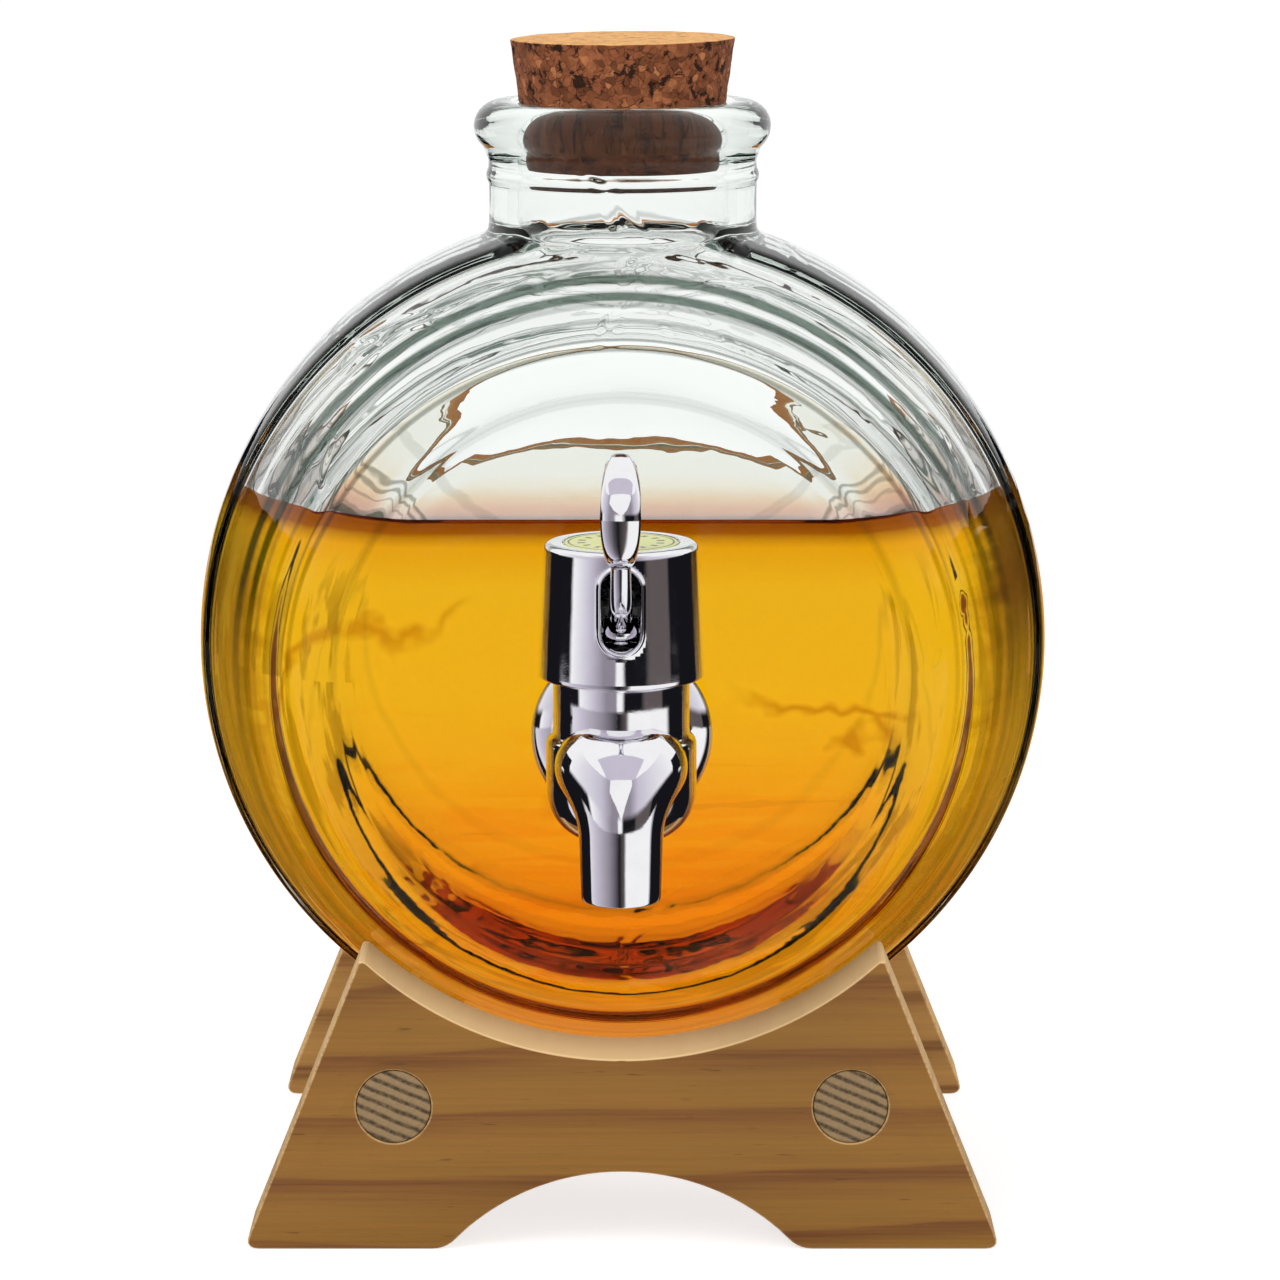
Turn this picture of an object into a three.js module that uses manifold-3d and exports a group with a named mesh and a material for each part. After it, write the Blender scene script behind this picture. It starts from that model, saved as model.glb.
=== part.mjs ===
// A glass barrel drink dispenser on a wooden stand: a blown glass barrel with a corked neck lies in two
// cradle boards, and a lever tap clamped through its front head lets the drink out.
// Millimetres, +Z up. X runs across the front, and the tap faces -Y.
import * as THREE from "three";
import { mergeVertices } from "three/addons/utils/BufferGeometryUtils.js";
import Module from "manifold-3d";

const wasm = await Module();
wasm.setup();

// Clearances shared by all the pieces
const seatGap = 0.3; // between two pieces that touch on the real object
const slideGap = 0.4; // between pieces that slide past each other
const overrun = 2; // how far a cutting solid runs past what it cuts

// Stand boards
const boardThickness = 14;
const boardProud = 2; // of a board's outer face beyond the barrel's head
const shoulderWidth = 0.9; // of the flat between the cradle's hollow and the board's side
const shoulderDropShare = 0.733; // of the cradle's radius, from the barrel's axis down to the shoulders
const sideSlopeShare = 0.4; // how far a side leans in for each unit of height
const archHeight = 13;
const archWidthShare = 0.465; // of the foot's width
const footRound = 1.6;
const edgeRound = 0.5;

// Dowels that join the boards
const dowelRadius = 6;
const dowelSpacingShare = 0.6; // of the foot's width
const dowelClearance = 1.1; // under the barrel

// Glass barrel, its axis along Y
const barrelLift = 21.8; // of its lowest line over the floor
const barrelRadius = 71.2;
const barrelHalfLength = 51;
const barrelWall = 4;
const headThickness = 5;

// Neck and lip
const neckRadius = 22.4;
const neckWall = 4.6;
const neckFillet = 6;
const neckRise = 18.6; // of the lip's top over the barrel
const lipHeight = 8.6;
const lipOverhang = 2.4; // of the lip's bead over the neck's wall
const mouthRound = 1.5;
const ringRise = 6.2; // of the mould ring round the neck, over the barrel
const ringWidth = 1.6;
const ringStep = 0.35;

// Cork, a tapered plug
const corkRise = 10.6; // above the lip
const corkDepth = 11.5; // below the lip's top
const corkTaperShare = 0.14; // growth of the radius for each unit of height
const corkEdge = 0.7;

// Tap: heights over its shank's axis, and distances in front of its valve's axis
const shankDrop = 7.2; // from the barrel's axis down to the shank's
const tapReach = 22; // from the barrel's head out to the valve's axis
const shankBore = 4.2;
const threadRadius = 7;
const threadSpare = 3;
const shankNeckRadius = 8;
const flangeRadius = 14.5;
const flangeThickness = 3.4;
const flangeRim = 1;

// Tap body and its round bowl
const bodyRadius = 10.6;
const bodyTop = 13;
const bowlRadius = 11.7;
const bowlShoulder = 3.5; // where the bowl meets the body's cylinder
const bowlCorner = 8;
const bowlBottom = 12.7;
const collarRadius = 10.2;
const collarTop = 17.6;
const chamberRadius = 6.6;
const guideBore = 7.6;
const guideSeat = 8;
const seatDepth = 5.5; // of the valve seat below the shank's axis
const seatHole = 3.4;

// Spout, an elbow from the body down to the outlet
const spoutForward = 14;
const spoutRadius = 6.5;
const elbowFillet = 1.2; // least radius of the elbow's inside bend
const elbowWidth = 20.6;
const elbowRise = 16;
const elbowTop = 8.2;
const outletRadius = 6.15;
const outletDepth = 19.1;
const outletBore = 4.4;
const outletRoof = 5.8; // depth of the closed end of the outlet's bore
const drillRadius = 2.6;
const drillDepth = 9.3;

// Cap over the tap's body
const capBottom = 13.3;
const capTop = 34.3;
const capBottomRadius = 12.9;
const capTopRadius = 11.9;
const capBevel = 0.9;
const capRoof = 2.1;
const labelRadius = 8.8;
const labelThickness = 0.5;
const slotWidth = 6;
const slotBottom = 19;
const slotTop = 31.8;
const slotRim = 0.45;
const slotRimRise = 0.4;
const cheekWidth = 2.4;
const cheekReach = 2.2; // of a cheek behind the pin's centre

// Lever and its pin
const pivotForward = 7;
const pivotHeight = 21.5;
const pinRadius = 1;
const hubRadius = 2.5;
const toeLength = 5.2;
const toeThickness = 2.2;
const armWidth = 3.6;
const armRoot = 3.4;
const armTip = 3;
const armForward = 11;
const armRise = 13;
const armBendShares = [0.68, 0.5];
const loopForward = 11.5; // of the loop's centre from the pin
const loopRise = 20.4;
const loopDepth = 17;
const loopHeight = 17.7;
const loopRing = 2.9;
const loopWidth = 6.2;
const loopRound = 1.1;

// Valve stem, seal, guide and spring
const stemRadius = 1.4;
const stemFoot = 3.6;
const stemFootThickness = 1.4;
const stemHead = 4.2;
const stemHeadThickness = 1.6;
const pilotRadius = 2.2;
const pilotHeight = 2.4;
const sealRadius = 5.2;
const sealBase = 2.3;
const sealHeight = 4.2;
const guideThickness = 3.7;
const grooveDepth = 1.6;
const stemRingWire = 0.6;
const capRingWire = 0.6;
const springRadius = 3;
const springWire = 0.35;
const springTurns = 3.5;

// Gaskets, washer and nut that clamp the tap to the glass
const gasketThickness = 1.8;
const outerGasketRadius = 13;
const innerGasketRadius = 11.5;
const washerThickness = 1.2;
const nutThickness = 6;
const nutAcrossFlats = 21;
const nutSides = 6;
const glassHoleGap = 0.9;

// Facets
const roundSteps = 48;
const mediumSteps = 36;
const smallSteps = 20;
const arcSteps = 5;
const springSteps = 8;
const springSides = 5;

// Outlines of the glass in the plane of its axis: shares of the half length, and of the radius
const outerProfileShares = [
  [0, 1], [0.17, 0.997], [0.3, 0.989], [0.363, 0.978], [0.385, 0.96], [0.47, 0.946], [0.588, 0.916],
  [0.686, 0.883], [0.765, 0.8525], [0.833, 0.823], [0.873, 0.799], [0.894, 0.771], [0.929, 0.75],
  [0.961, 0.722], [0.986, 0.683], [1, 0.64],
];
const innerProfileShares = [
  [0, 1], [0.33, 0.989], [0.52, 0.945], [0.76, 0.87], [0.89, 0.8], [0.96, 0.735], [1, 0.65],
];

// Values that follow from the sizes above
const shankHole = threadRadius + glassHoleGap;
const threadClear = threadRadius + seatGap;
const axisHeight = barrelRadius + barrelLift;
const lipTop = barrelRadius + neckRise; // this and the next over the barrel's axis
const ringHeight = barrelRadius + ringRise;
const boardFace = barrelHalfLength + boardProud;
const boardInner = boardFace - boardThickness;
const cradleRadius = barrelRadius * shareAt(outerProfileShares, boardInner / barrelHalfLength) + seatGap;
const cradleAngle = Math.asin(shoulderDropShare);
const shoulderHeight = axisHeight - shoulderDropShare * cradleRadius;
const halfShoulder = cradleRadius * Math.cos(cradleAngle) + shoulderWidth;
const footWidth = 2 * (halfShoulder + sideSlopeShare * shoulderHeight);
const archWidth = archWidthShare * footWidth;
const dowelSpacing = dowelSpacingShare * footWidth;
const dowelDrop = Math.sqrt((barrelRadius + dowelRadius + dowelClearance) ** 2 - (dowelSpacing / 2) ** 2);
const dowelHeight = axisHeight - dowelDrop;
const lipRadius = neckRadius + lipOverhang;
const mouthRadius = neckRadius - neckWall;
const corkLipRadius = mouthRadius - seatGap; // the cork's, at the lip's top
const innerRadius = barrelRadius - barrelWall;
const innerHalfLength = barrelHalfLength - headThickness;
const flangeBack = tapReach - 2 * seatGap - gasketThickness; // behind the valve's axis
const flangeFront = flangeBack - flangeThickness;
const innerFace = tapReach + headThickness; // of the barrel's front head, behind the valve's axis
const washerFace = innerFace + gasketThickness + 2 * seatGap;
const nutFace = washerFace + washerThickness + seatGap;
const shankEnd = nutFace + nutThickness + threadSpare;
const capBore = collarRadius + seatGap;
const roofHeight = capTop - capRoof;
const headHeight = pivotHeight + toeThickness / 2 + slideGap;
const springFoot = headHeight + stemHeadThickness + seatGap;
const springTop = roofHeight - seatGap;
const guideFoot = guideSeat + seatGap;
const guideTop = guideFoot + guideThickness;
const footHeight = sealBase + 2 * seatGap - seatDepth; // of the stem's foot over the shank's axis
const frontReach = barrelHalfLength + tapReach + pivotForward + loopForward + loopDepth / 2;
const originShift = (frontReach - boardFace) / 2; // puts the origin under the middle of the whole object

// Finishes
const finish = {
  pine: { color: 0xc39a66, roughness: 0.65, metalness: 0 },
  dowelPine: { color: 0xb39164, roughness: 0.7, metalness: 0 },
  glass: { color: 0xdfe6df, roughness: 0.03, metalness: 0, transparent: true, opacity: 0.3 },
  cork: { color: 0xa9673c, roughness: 0.9, metalness: 0 },
  chrome: { color: 0xd9dadf, roughness: 0.08, metalness: 1 },
  steel: { color: 0xa9abae, roughness: 0.35, metalness: 1 },
  rubber: { color: 0x2a2a2c, roughness: 0.8, metalness: 0 },
  plastic: { color: 0xe6e6e2, roughness: 0.45, metalness: 0 },
  label: { color: 0xe9e98c, roughness: 0.4, metalness: 0 },
};

// The radius share at a length share, along straight lines between the table's points.
function shareAt(table, place) {
  const next = table.findIndex(([at]) => at >= place);
  const [[a, from], [b, to]] = [table[next - 1], table[next]];
  return from + ((to - from) * (place - a)) / (b - a);
}

// Solids from three.js geometry, for joining and cutting.
function solid(geometry) {
  const bare = geometry.clone();
  for (const name of ["normal", "uv"]) bare.deleteAttribute(name);
  const merged = mergeVertices(bare);
  const triVerts = new Uint32Array(merged.index.array);
  return new wasm.Manifold(
    new wasm.Mesh({ numProp: 3, vertProperties: merged.attributes.position.array, triVerts }),
  );
}

// The mesh of a solid, or of a geometry that needs no cutting.
function mesh(name, shape, look, flatShading = false) {
  let geometry = shape;
  if (!shape.isBufferGeometry) {
    const { vertProperties, triVerts } = shape.getMesh();
    geometry = new THREE.BufferGeometry();
    geometry.setAttribute("position", new THREE.BufferAttribute(vertProperties, 3));
    geometry.setIndex(new THREE.BufferAttribute(triVerts, 1));
  }
  geometry.computeVertexNormals();
  const made = new THREE.Mesh(geometry, new THREE.MeshStandardMaterial({ ...look, flatShading }));
  made.name = name;
  return made;
}

const joined = (...solids) => solids.reduce((whole, next) => whole.add(next));
const cutBy = (whole, ...tools) => tools.reduce((left, tool) => left.subtract(tool), whole);

// A body turned about Z from [radius, height] points that run up its outside.
function turned(points, steps = smallSteps) {
  const profile = points.map(([r, h]) => new THREE.Vector2(r, h));
  return new THREE.LatheGeometry(profile, steps).rotateX(Math.PI / 2);
}

// A closed plug about Z: the points' outline is closed along the axis.
function plug(points, steps) {
  return turned([[0, points[0][1]], ...points, [0, points.at(-1)[1]]], steps);
}

// A ring about Z from radius and height limits.
function ring(inner, outer, low, high, steps) {
  return turned([[inner, low], [outer, low], [outer, high], [inner, high], [inner, low]], steps);
}

const rod = (radius, low, high, steps) => plug([[radius, low], [radius, high]], steps);

// Turns a body about Z into one about Y whose heights grow away from the viewer.
const alongY = (geometry) => geometry.rotateX(-Math.PI / 2);

// Turns a body about Z into one about X.
const alongX = (geometry) => geometry.rotateY(Math.PI / 2);

// Points on an arc in the profile's plane.
function arc(centre, radius, from, to, steps = arcSteps) {
  return Array.from({ length: steps + 1 }, (_, i) => {
    const angle = from + ((to - from) * i) / steps;
    return [centre[0] + radius * Math.cos(angle), centre[1] + radius * Math.sin(angle)];
  });
}

// An outline drawn in the YZ plane, extruded along X and centred on x = 0.
function sideExtrusion(shape, width, round = 0) {
  const geometry = new THREE.ExtrudeGeometry(shape, {
    depth: width - 2 * round,
    bevelEnabled: round > 0,
    bevelThickness: round,
    bevelSize: round,
    bevelOffset: -round,
    bevelSegments: 2,
    curveSegments: smallSteps,
  });
  geometry.translate(0, 0, round - width / 2);
  const [x, y, z] = [new THREE.Vector3(1, 0, 0), new THREE.Vector3(0, 1, 0), new THREE.Vector3(0, 0, 1)];
  return geometry.applyMatrix4(new THREE.Matrix4().makeBasis(y, z, x));
}

// An outline drawn in the XZ plane, extruded along Y from y = front to y = back.
function frontExtrusion(shape, front, back, steps = smallSteps) {
  const depth = back - front;
  const geometry = new THREE.ExtrudeGeometry(shape, { depth, bevelEnabled: false, curveSegments: steps });
  return geometry.rotateX(Math.PI / 2).translate(0, back, 0);
}

// A closed skin over rings of points, with a flat cap at each end. Each ring turns right-handed about the
// way that the rings follow each other.
function loft(rings) {
  const sides = rings[0].length;
  const middle = (points) =>
    points.reduce((sum, p) => sum.add(p), new THREE.Vector3()).divideScalar(points.length);
  const points = [...rings.flat(), middle(rings[0]), middle(rings.at(-1))];
  const firstMiddle = rings.length * sides;
  const index = [];
  for (let side = 0; side < sides; side++) {
    const next = (side + 1) % sides;
    for (let r = 0; r + 1 < rings.length; r++) {
      const [a, b] = [r * sides + side, r * sides + next];
      index.push(a, b, a + sides, b, b + sides, a + sides);
    }
    const last = (rings.length - 1) * sides;
    index.push(next, side, firstMiddle);
    index.push(last + side, last + next, firstMiddle + 1);
  }
  const geometry = new THREE.BufferGeometry().setFromPoints(points);
  geometry.setIndex(index);
  return geometry;
}

// One cradle board's outline: splayed sides, an arch between the feet and the cradle's hollow above.
function boardShape() {
  const [halfFoot, halfArch] = [footWidth / 2, archWidth / 2];
  const archRadius = (halfArch ** 2 + archHeight ** 2) / (2 * archHeight);
  const archCentre = archHeight - archRadius;
  const footAngle = Math.acos((halfArch - footRound) / archRadius);
  const shape = new THREE.Shape();
  shape.moveTo(footRound - halfFoot, 0);
  shape.lineTo(-halfArch - footRound, 0);
  shape.absarc(0, archCentre, archRadius, Math.PI - footAngle, footAngle, true);
  shape.lineTo(halfArch + footRound, 0);
  shape.lineTo(halfFoot - footRound, 0);
  shape.lineTo(halfFoot - sideSlopeShare * footRound, footRound);
  shape.lineTo(halfShoulder, shoulderHeight);
  shape.absarc(0, axisHeight, cradleRadius, -cradleAngle, cradleAngle - Math.PI, true);
  shape.lineTo(-halfShoulder, shoulderHeight);
  shape.lineTo(sideSlopeShare * footRound - halfFoot, footRound);
  shape.closePath();
  for (const side of [-1, 1]) {
    const hole = new THREE.Path();
    hole.absarc((side * dowelSpacing) / 2, dowelHeight, dowelRadius + seatGap, 0, 2 * Math.PI);
    shape.holes.push(hole);
  }
  return shape;
}

function stand() {
  const group = new THREE.Group();
  const shape = boardShape();
  for (const [name, front] of [["front_cradle_board", -boardFace], ["rear_cradle_board", boardInner]]) {
    group.add(mesh(name, frontExtrusion(shape, front, front + boardThickness), finish.pine, true));
  }
  for (const [name, side] of [["left_dowel", -1], ["right_dowel", 1]]) {
    const end = boardFace - edgeRound;
    const outline = [
      [dowelRadius - edgeRound, -boardFace], [dowelRadius, -end], [dowelRadius, end],
      [dowelRadius - edgeRound, boardFace],
    ];
    const dowel = mesh(name, alongY(plug(outline)), finish.dowelPine);
    dowel.position.set((side * dowelSpacing) / 2, 0, dowelHeight);
    group.add(dowel);
  }
  return group;
}

// A full outline along the glass's axis from one of the share tables, from head to head.
function headToHead(shares, radius, halfLength) {
  const half = shares.map(([along, out]) => [out * radius, along * halfLength]);
  const mirrored = half.slice(1).reverse().map(([r, h]) => [r, -h]);
  return [...mirrored, ...half];
}

// The neck as a solid plug: a fillet off the barrel, the mould ring and the rounded lip.
function neckBody() {
  const filletCentre = neckRadius + neckFillet;
  const filletHeight = Math.sqrt((barrelRadius + neckFillet) ** 2 - filletCentre ** 2);
  const filletEnd = Math.atan2(filletHeight, filletCentre);
  const skirt = arc([filletCentre, filletHeight], neckFillet, filletEnd - Math.PI, -Math.PI);
  const beadRadius = lipHeight / 2;
  const beadCentre = [lipRadius - beadRadius, lipTop - beadRadius];
  const beadStart = -Math.acos((neckRadius - beadCentre[0]) / beadRadius);
  const mouldRing = [
    [neckRadius, ringHeight - ringWidth / 2 - ringStep], [neckRadius + ringStep, ringHeight - ringWidth / 2],
    [neckRadius + ringStep, ringHeight + ringWidth / 2], [neckRadius, ringHeight + ringWidth / 2 + ringStep],
  ];
  const foot = [skirt[0][0], innerRadius - barrelWall];
  const bead = arc(beadCentre, beadRadius, beadStart, Math.PI / 2);
  return solid(plug([foot, ...skirt, ...mouldRing, ...bead], mediumSteps));
}

// The hollow of the neck, rounded at its mouth.
function neckBore() {
  const mouth = arc([mouthRadius + mouthRound, lipTop - mouthRound], mouthRound, Math.PI, Math.PI / 2);
  const low = innerRadius - 2 * barrelWall;
  const outline = [[mouthRadius, low], ...mouth, [mouth.at(-1)[0], lipTop + overrun]];
  return solid(plug(outline, mediumSteps));
}

function glassBarrel() {
  const outside = solid(
    alongY(plug(headToHead(outerProfileShares, barrelRadius, barrelHalfLength), roundSteps)),
  );
  const inside = solid(
    alongY(plug(headToHead(innerProfileShares, innerRadius, innerHalfLength), roundSteps)),
  );
  const hole = solid(
    alongY(rod(shankHole, -barrelHalfLength - overrun, -innerHalfLength + overrun, mediumSteps))
      .translate(0, 0, -shankDrop),
  );
  const glass = cutBy(joined(outside, neckBody()), inside, neckBore(), hole);
  return mesh("glass_barrel", glass, finish.glass);
}

function corkStopper() {
  const radiusAt = (height) => corkLipRadius + corkTaperShare * height;
  const outline = [
    [radiusAt(-corkDepth) - corkEdge, -corkDepth], [radiusAt(corkEdge - corkDepth), corkEdge - corkDepth],
    [radiusAt(corkRise - corkEdge), corkRise - corkEdge], [radiusAt(corkRise) - corkEdge, corkRise],
  ];
  const cork = mesh("cork_stopper", plug(outline, mediumSteps), finish.cork);
  cork.position.z = lipTop;
  return cork;
}

// The spout's elbow: oval sections that turn from upright to level round one corner, then the outlet tube.
function spoutElbow() {
  const cornerForward = spoutForward - spoutRadius - elbowFillet;
  const section = (angle, halfWidth, halfRise) => {
    const out = new THREE.Vector3(0, -Math.sin(angle), Math.cos(angle));
    const corner = new THREE.Vector3(0, -cornerForward, elbowTop - elbowRise - elbowFillet);
    const centre = corner.addScaledVector(out, halfRise + elbowFillet);
    return Array.from({ length: smallSteps }, (_, i) => {
      const turn = (2 * Math.PI * i) / smallSteps;
      const point = centre.clone().addScaledVector(out, halfRise * Math.cos(turn));
      return point.setX(-halfWidth * Math.sin(turn));
    });
  };
  const rings = [];
  for (let step = 0; step <= arcSteps; step++) {
    const angle = ((Math.PI / 2) * step) / arcSteps;
    const share = (1 - Math.cos(Math.PI * (step / arcSteps))) / 2;
    const halfWidth = THREE.MathUtils.lerp(elbowWidth / 2, spoutRadius, share);
    rings.push(section(angle, halfWidth, THREE.MathUtils.lerp(elbowRise / 2, spoutRadius, share)));
  }
  const root = rings[0].map((p) => p.clone().setY(-cornerForward / 2));
  const outlet = rings.at(-1).map((p) => {
    const shrink = outletRadius / spoutRadius;
    return new THREE.Vector3(p.x * shrink, (p.y + spoutForward) * shrink - spoutForward, -outletDepth);
  });
  return solid(loft([root, ...rings, outlet]));
}

function tapBody() {
  const bowlRim = bowlBottom - bowlCorner;
  const bowl = arc([bowlRadius - bowlCorner, -bowlRim], bowlCorner, -Math.PI / 2, 0);
  const ringMiddle = (bodyTop + collarTop) / 2;
  const grooveHalf = capRingWire + seatGap;
  const grooveRadius = capBore - 2 * seatGap - 2 * capRingWire;
  const outside = plug([
    ...bowl, [bowlRadius, bowlShoulder], [bodyRadius, bowlShoulder + bowlRadius - bodyRadius],
    [bodyRadius, bodyTop], [collarRadius, bodyTop], [collarRadius, ringMiddle - grooveHalf],
    [grooveRadius, ringMiddle - grooveHalf], [grooveRadius, ringMiddle + grooveHalf],
    [collarRadius, ringMiddle + grooveHalf], [collarRadius, collarTop],
  ], mediumSteps);
  const shank = alongY(plug([
    [shankNeckRadius, 0], [shankNeckRadius, flangeFront], [flangeRadius - flangeThickness, flangeFront],
    [flangeRadius, flangeBack - flangeRim], [flangeRadius, flangeBack], [threadRadius, flangeBack],
    [threadRadius, shankEnd - edgeRound], [threadRadius - edgeRound, shankEnd],
  ], mediumSteps));
  const chamber = plug([
    [chamberRadius, -seatDepth], [chamberRadius, guideSeat], [guideBore, guideSeat],
    [guideBore, collarTop + overrun],
  ], mediumSteps);
  const seat = rod(seatHole, -drillDepth, -seatDepth + overrun);
  const drill = alongY(rod(drillRadius, -spoutForward, seatHole / 2)).translate(0, 0, -drillDepth);
  const outlet = rod(outletBore, -outletDepth - overrun, -outletRoof)
    .translate(0, -spoutForward, 0);
  const inlet = alongY(rod(shankBore, 0, shankEnd + overrun));
  const whole = joined(solid(outside), solid(shank), spoutElbow());
  return mesh("tap_body", cutBy(whole, ...[chamber, seat, drill, outlet, inlet].map(solid)), finish.chrome);
}

// The outline of the lever's slot in the cap's front, grown by a margin.
function slotShape(margin) {
  const half = slotWidth / 2;
  const shape = new THREE.Shape();
  shape.absarc(0, slotTop - half, half + margin, 0, Math.PI, false);
  shape.absarc(0, slotBottom + half, half + margin, Math.PI, 2 * Math.PI, false);
  return shape;
}

// The outside of the cap, grown by a margin.
function capOutside(margin) {
  return solid(plug([
    [capBottomRadius + margin, capBottom], [capTopRadius + margin, capTop - capBevel],
    [capTopRadius + margin - capBevel, capTop],
  ], mediumSteps));
}

function tapCap() {
  const front = -capBottomRadius - overrun;
  const slot = solid(frontExtrusion(slotShape(0), front, -pivotForward + pinRadius, arcSteps));
  const rim = solid(frontExtrusion(slotShape(slotRim), front, -pivotForward, arcSteps));
  const bore = solid(rod(capBore, capBottom - overrun, roofHeight, mediumSteps));
  const recess = solid(
    rod(labelRadius + seatGap, capTop - labelThickness - seatGap, capTop + overrun, mediumSteps),
  );
  const cheekFront = -Math.sqrt(capBore ** 2 - (slotWidth / 2) ** 2) - edgeRound;
  const cheekBack = cheekReach - pivotForward;
  const cheekLow = collarTop + 2 * seatGap;
  const cheekHigh = roofHeight + edgeRound;
  const cheeks = [-1, 1].map((side) => {
    const box = new THREE.BoxGeometry(cheekWidth, cheekBack - cheekFront, cheekHigh - cheekLow);
    const across = (side * (slotWidth + cheekWidth)) / 2;
    return solid(box.translate(across, (cheekFront + cheekBack) / 2, (cheekLow + cheekHigh) / 2));
  });
  const pinHole = solid(
    alongX(rod(pinRadius + seatGap, -slotWidth, slotWidth)).translate(0, -pivotForward, pivotHeight),
  );
  const slotFrame = capOutside(slotRimRise).intersect(rim).subtract(bore);
  const shell = joined(cutBy(capOutside(0), bore), ...cheeks, slotFrame);
  return mesh("tap_cap", cutBy(shell, slot, recess, pinHole), finish.chrome);
}

function capLabel() {
  const low = capTop - labelThickness;
  return mesh("cap_label_disc", rod(labelRadius, low, capTop, mediumSteps), finish.label);
}

// The lever, drawn from its pin's centre: a hub with a toe under the stem's head, an arm and a finger loop.
function tapLever() {
  const arm = new THREE.QuadraticBezierCurve(
    new THREE.Vector2(0, 0),
    new THREE.Vector2(-armForward * armBendShares[0], armRise * armBendShares[1]),
    new THREE.Vector2(-armForward, armRise),
  );
  const edge = (side) =>
    Array.from({ length: arcSteps + 1 }, (_, i) => {
      const share = i / arcSteps;
      const along = arm.getTangent(share);
      const half = THREE.MathUtils.lerp(armRoot, armTip, share) / 2;
      return arm.getPoint(share).add(new THREE.Vector2(-along.y, along.x).multiplyScalar(side * half));
    });
  const armShape = new THREE.Shape([...edge(-1), ...edge(1).reverse()]);
  const loopShape = new THREE.Shape();
  loopShape.absellipse(-loopForward, loopRise, loopDepth / 2, loopHeight / 2, 0, 2 * Math.PI);
  const gap = new THREE.Path();
  const [gapDepth, gapHeight] = [loopDepth / 2 - loopRing, loopHeight / 2 - loopRing];
  gap.absellipse(-loopForward, loopRise, gapDepth, gapHeight, 0, 2 * Math.PI);
  loopShape.holes.push(gap);
  const hubWidth = slotWidth - 2 * seatGap;
  const hub = alongX(rod(hubRadius, -hubWidth / 2, hubWidth / 2));
  const toe = new THREE.BoxGeometry(hubWidth, toeLength, toeThickness).translate(0, toeLength / 2, 0);
  const whole = joined(
    solid(sideExtrusion(armShape, armWidth)),
    solid(sideExtrusion(loopShape, loopWidth, loopRound)),
    solid(hub),
    solid(toe),
  );
  const pinHole = solid(alongX(rod(pinRadius + seatGap, -slotWidth, slotWidth)));
  return mesh("tap_lever", whole.subtract(pinHole), finish.chrome);
}

function leverPin() {
  const halfLength = slotWidth / 2 + cheekWidth;
  return mesh("lever_pin", alongX(rod(pinRadius, -halfLength, halfLength)), finish.steel);
}

function valveStem() {
  const foot = footHeight;
  const headTop = headHeight + stemHeadThickness;
  const outline = [
    [stemFoot, foot], [stemFoot, foot + stemFootThickness], [stemRadius, foot + stemFootThickness],
    [stemRadius, headHeight], [stemHead, headHeight], [stemHead, headTop], [pilotRadius, headTop],
    [pilotRadius, headTop + pilotHeight],
  ];
  return mesh("valve_stem", plug(outline), finish.plastic);
}

// A rubber cup round the stem's foot that closes the seat's hole.
function valveSeal() {
  const low = seatGap - seatDepth;
  const outline = [
    [0, low], [sealRadius, low], [sealRadius, low + sealHeight], [stemFoot + seatGap, low + sealHeight],
    [stemFoot + seatGap, low + sealBase], [0, low + sealBase],
  ];
  return mesh("valve_seal", turned(outline), finish.rubber);
}

function stemGuide() {
  const hole = stemRadius + seatGap;
  const groove = hole + 2 * stemRingWire + seatGap;
  const [radius, grooveFloor] = [guideBore - seatGap, guideTop - grooveDepth];
  const outline = [
    [hole, guideFoot], [radius, guideFoot], [radius, guideTop], [groove, guideTop], [groove, grooveFloor],
    [hole, grooveFloor], [hole, guideFoot],
  ];
  return mesh("stem_guide", turned(outline, mediumSteps), finish.plastic);
}

// A rubber ring of round wire, centred on the valve's axis.
function sealRing(name, radius, wire, height) {
  const made = mesh(name, new THREE.TorusGeometry(radius, wire, springSteps, smallSteps), finish.rubber);
  made.position.z = height;
  return made;
}

// One unbroken coil of round wire between the stem's head and the cap's roof.
function returnSpring() {
  const rise = springTop - springFoot - 2 * springWire;
  const count = Math.round(springTurns * springSteps);
  const centreAt = (step) => {
    const turn = (2 * Math.PI * springTurns * step) / count;
    const height = springFoot + springWire + (rise * step) / count;
    return new THREE.Vector3(springRadius * Math.cos(turn), springRadius * Math.sin(turn), height);
  };
  const rings = Array.from({ length: count + 1 }, (_, step) => {
    const centre = centreAt(step);
    const outward = new THREE.Vector3(centre.x, centre.y, 0).normalize();
    return Array.from({ length: springSides }, (_side, i) => {
      const angle = (-2 * Math.PI * i) / springSides;
      const point = centre.clone().addScaledVector(outward, springWire * Math.cos(angle));
      return point.setZ(centre.z + springWire * Math.sin(angle));
    });
  });
  const nearest = Math.min(...rings.map((points, step) => {
    const above = rings[step + springSteps];
    return above ? Math.min(...points.flatMap((p) => above.map((q) => p.distanceTo(q)))) : Infinity;
  }));
  console.log("return spring, least gap between turns: " + nearest.toFixed(2) + " mm");
  return mesh("return_spring", loft(rings), finish.steel);
}

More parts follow.
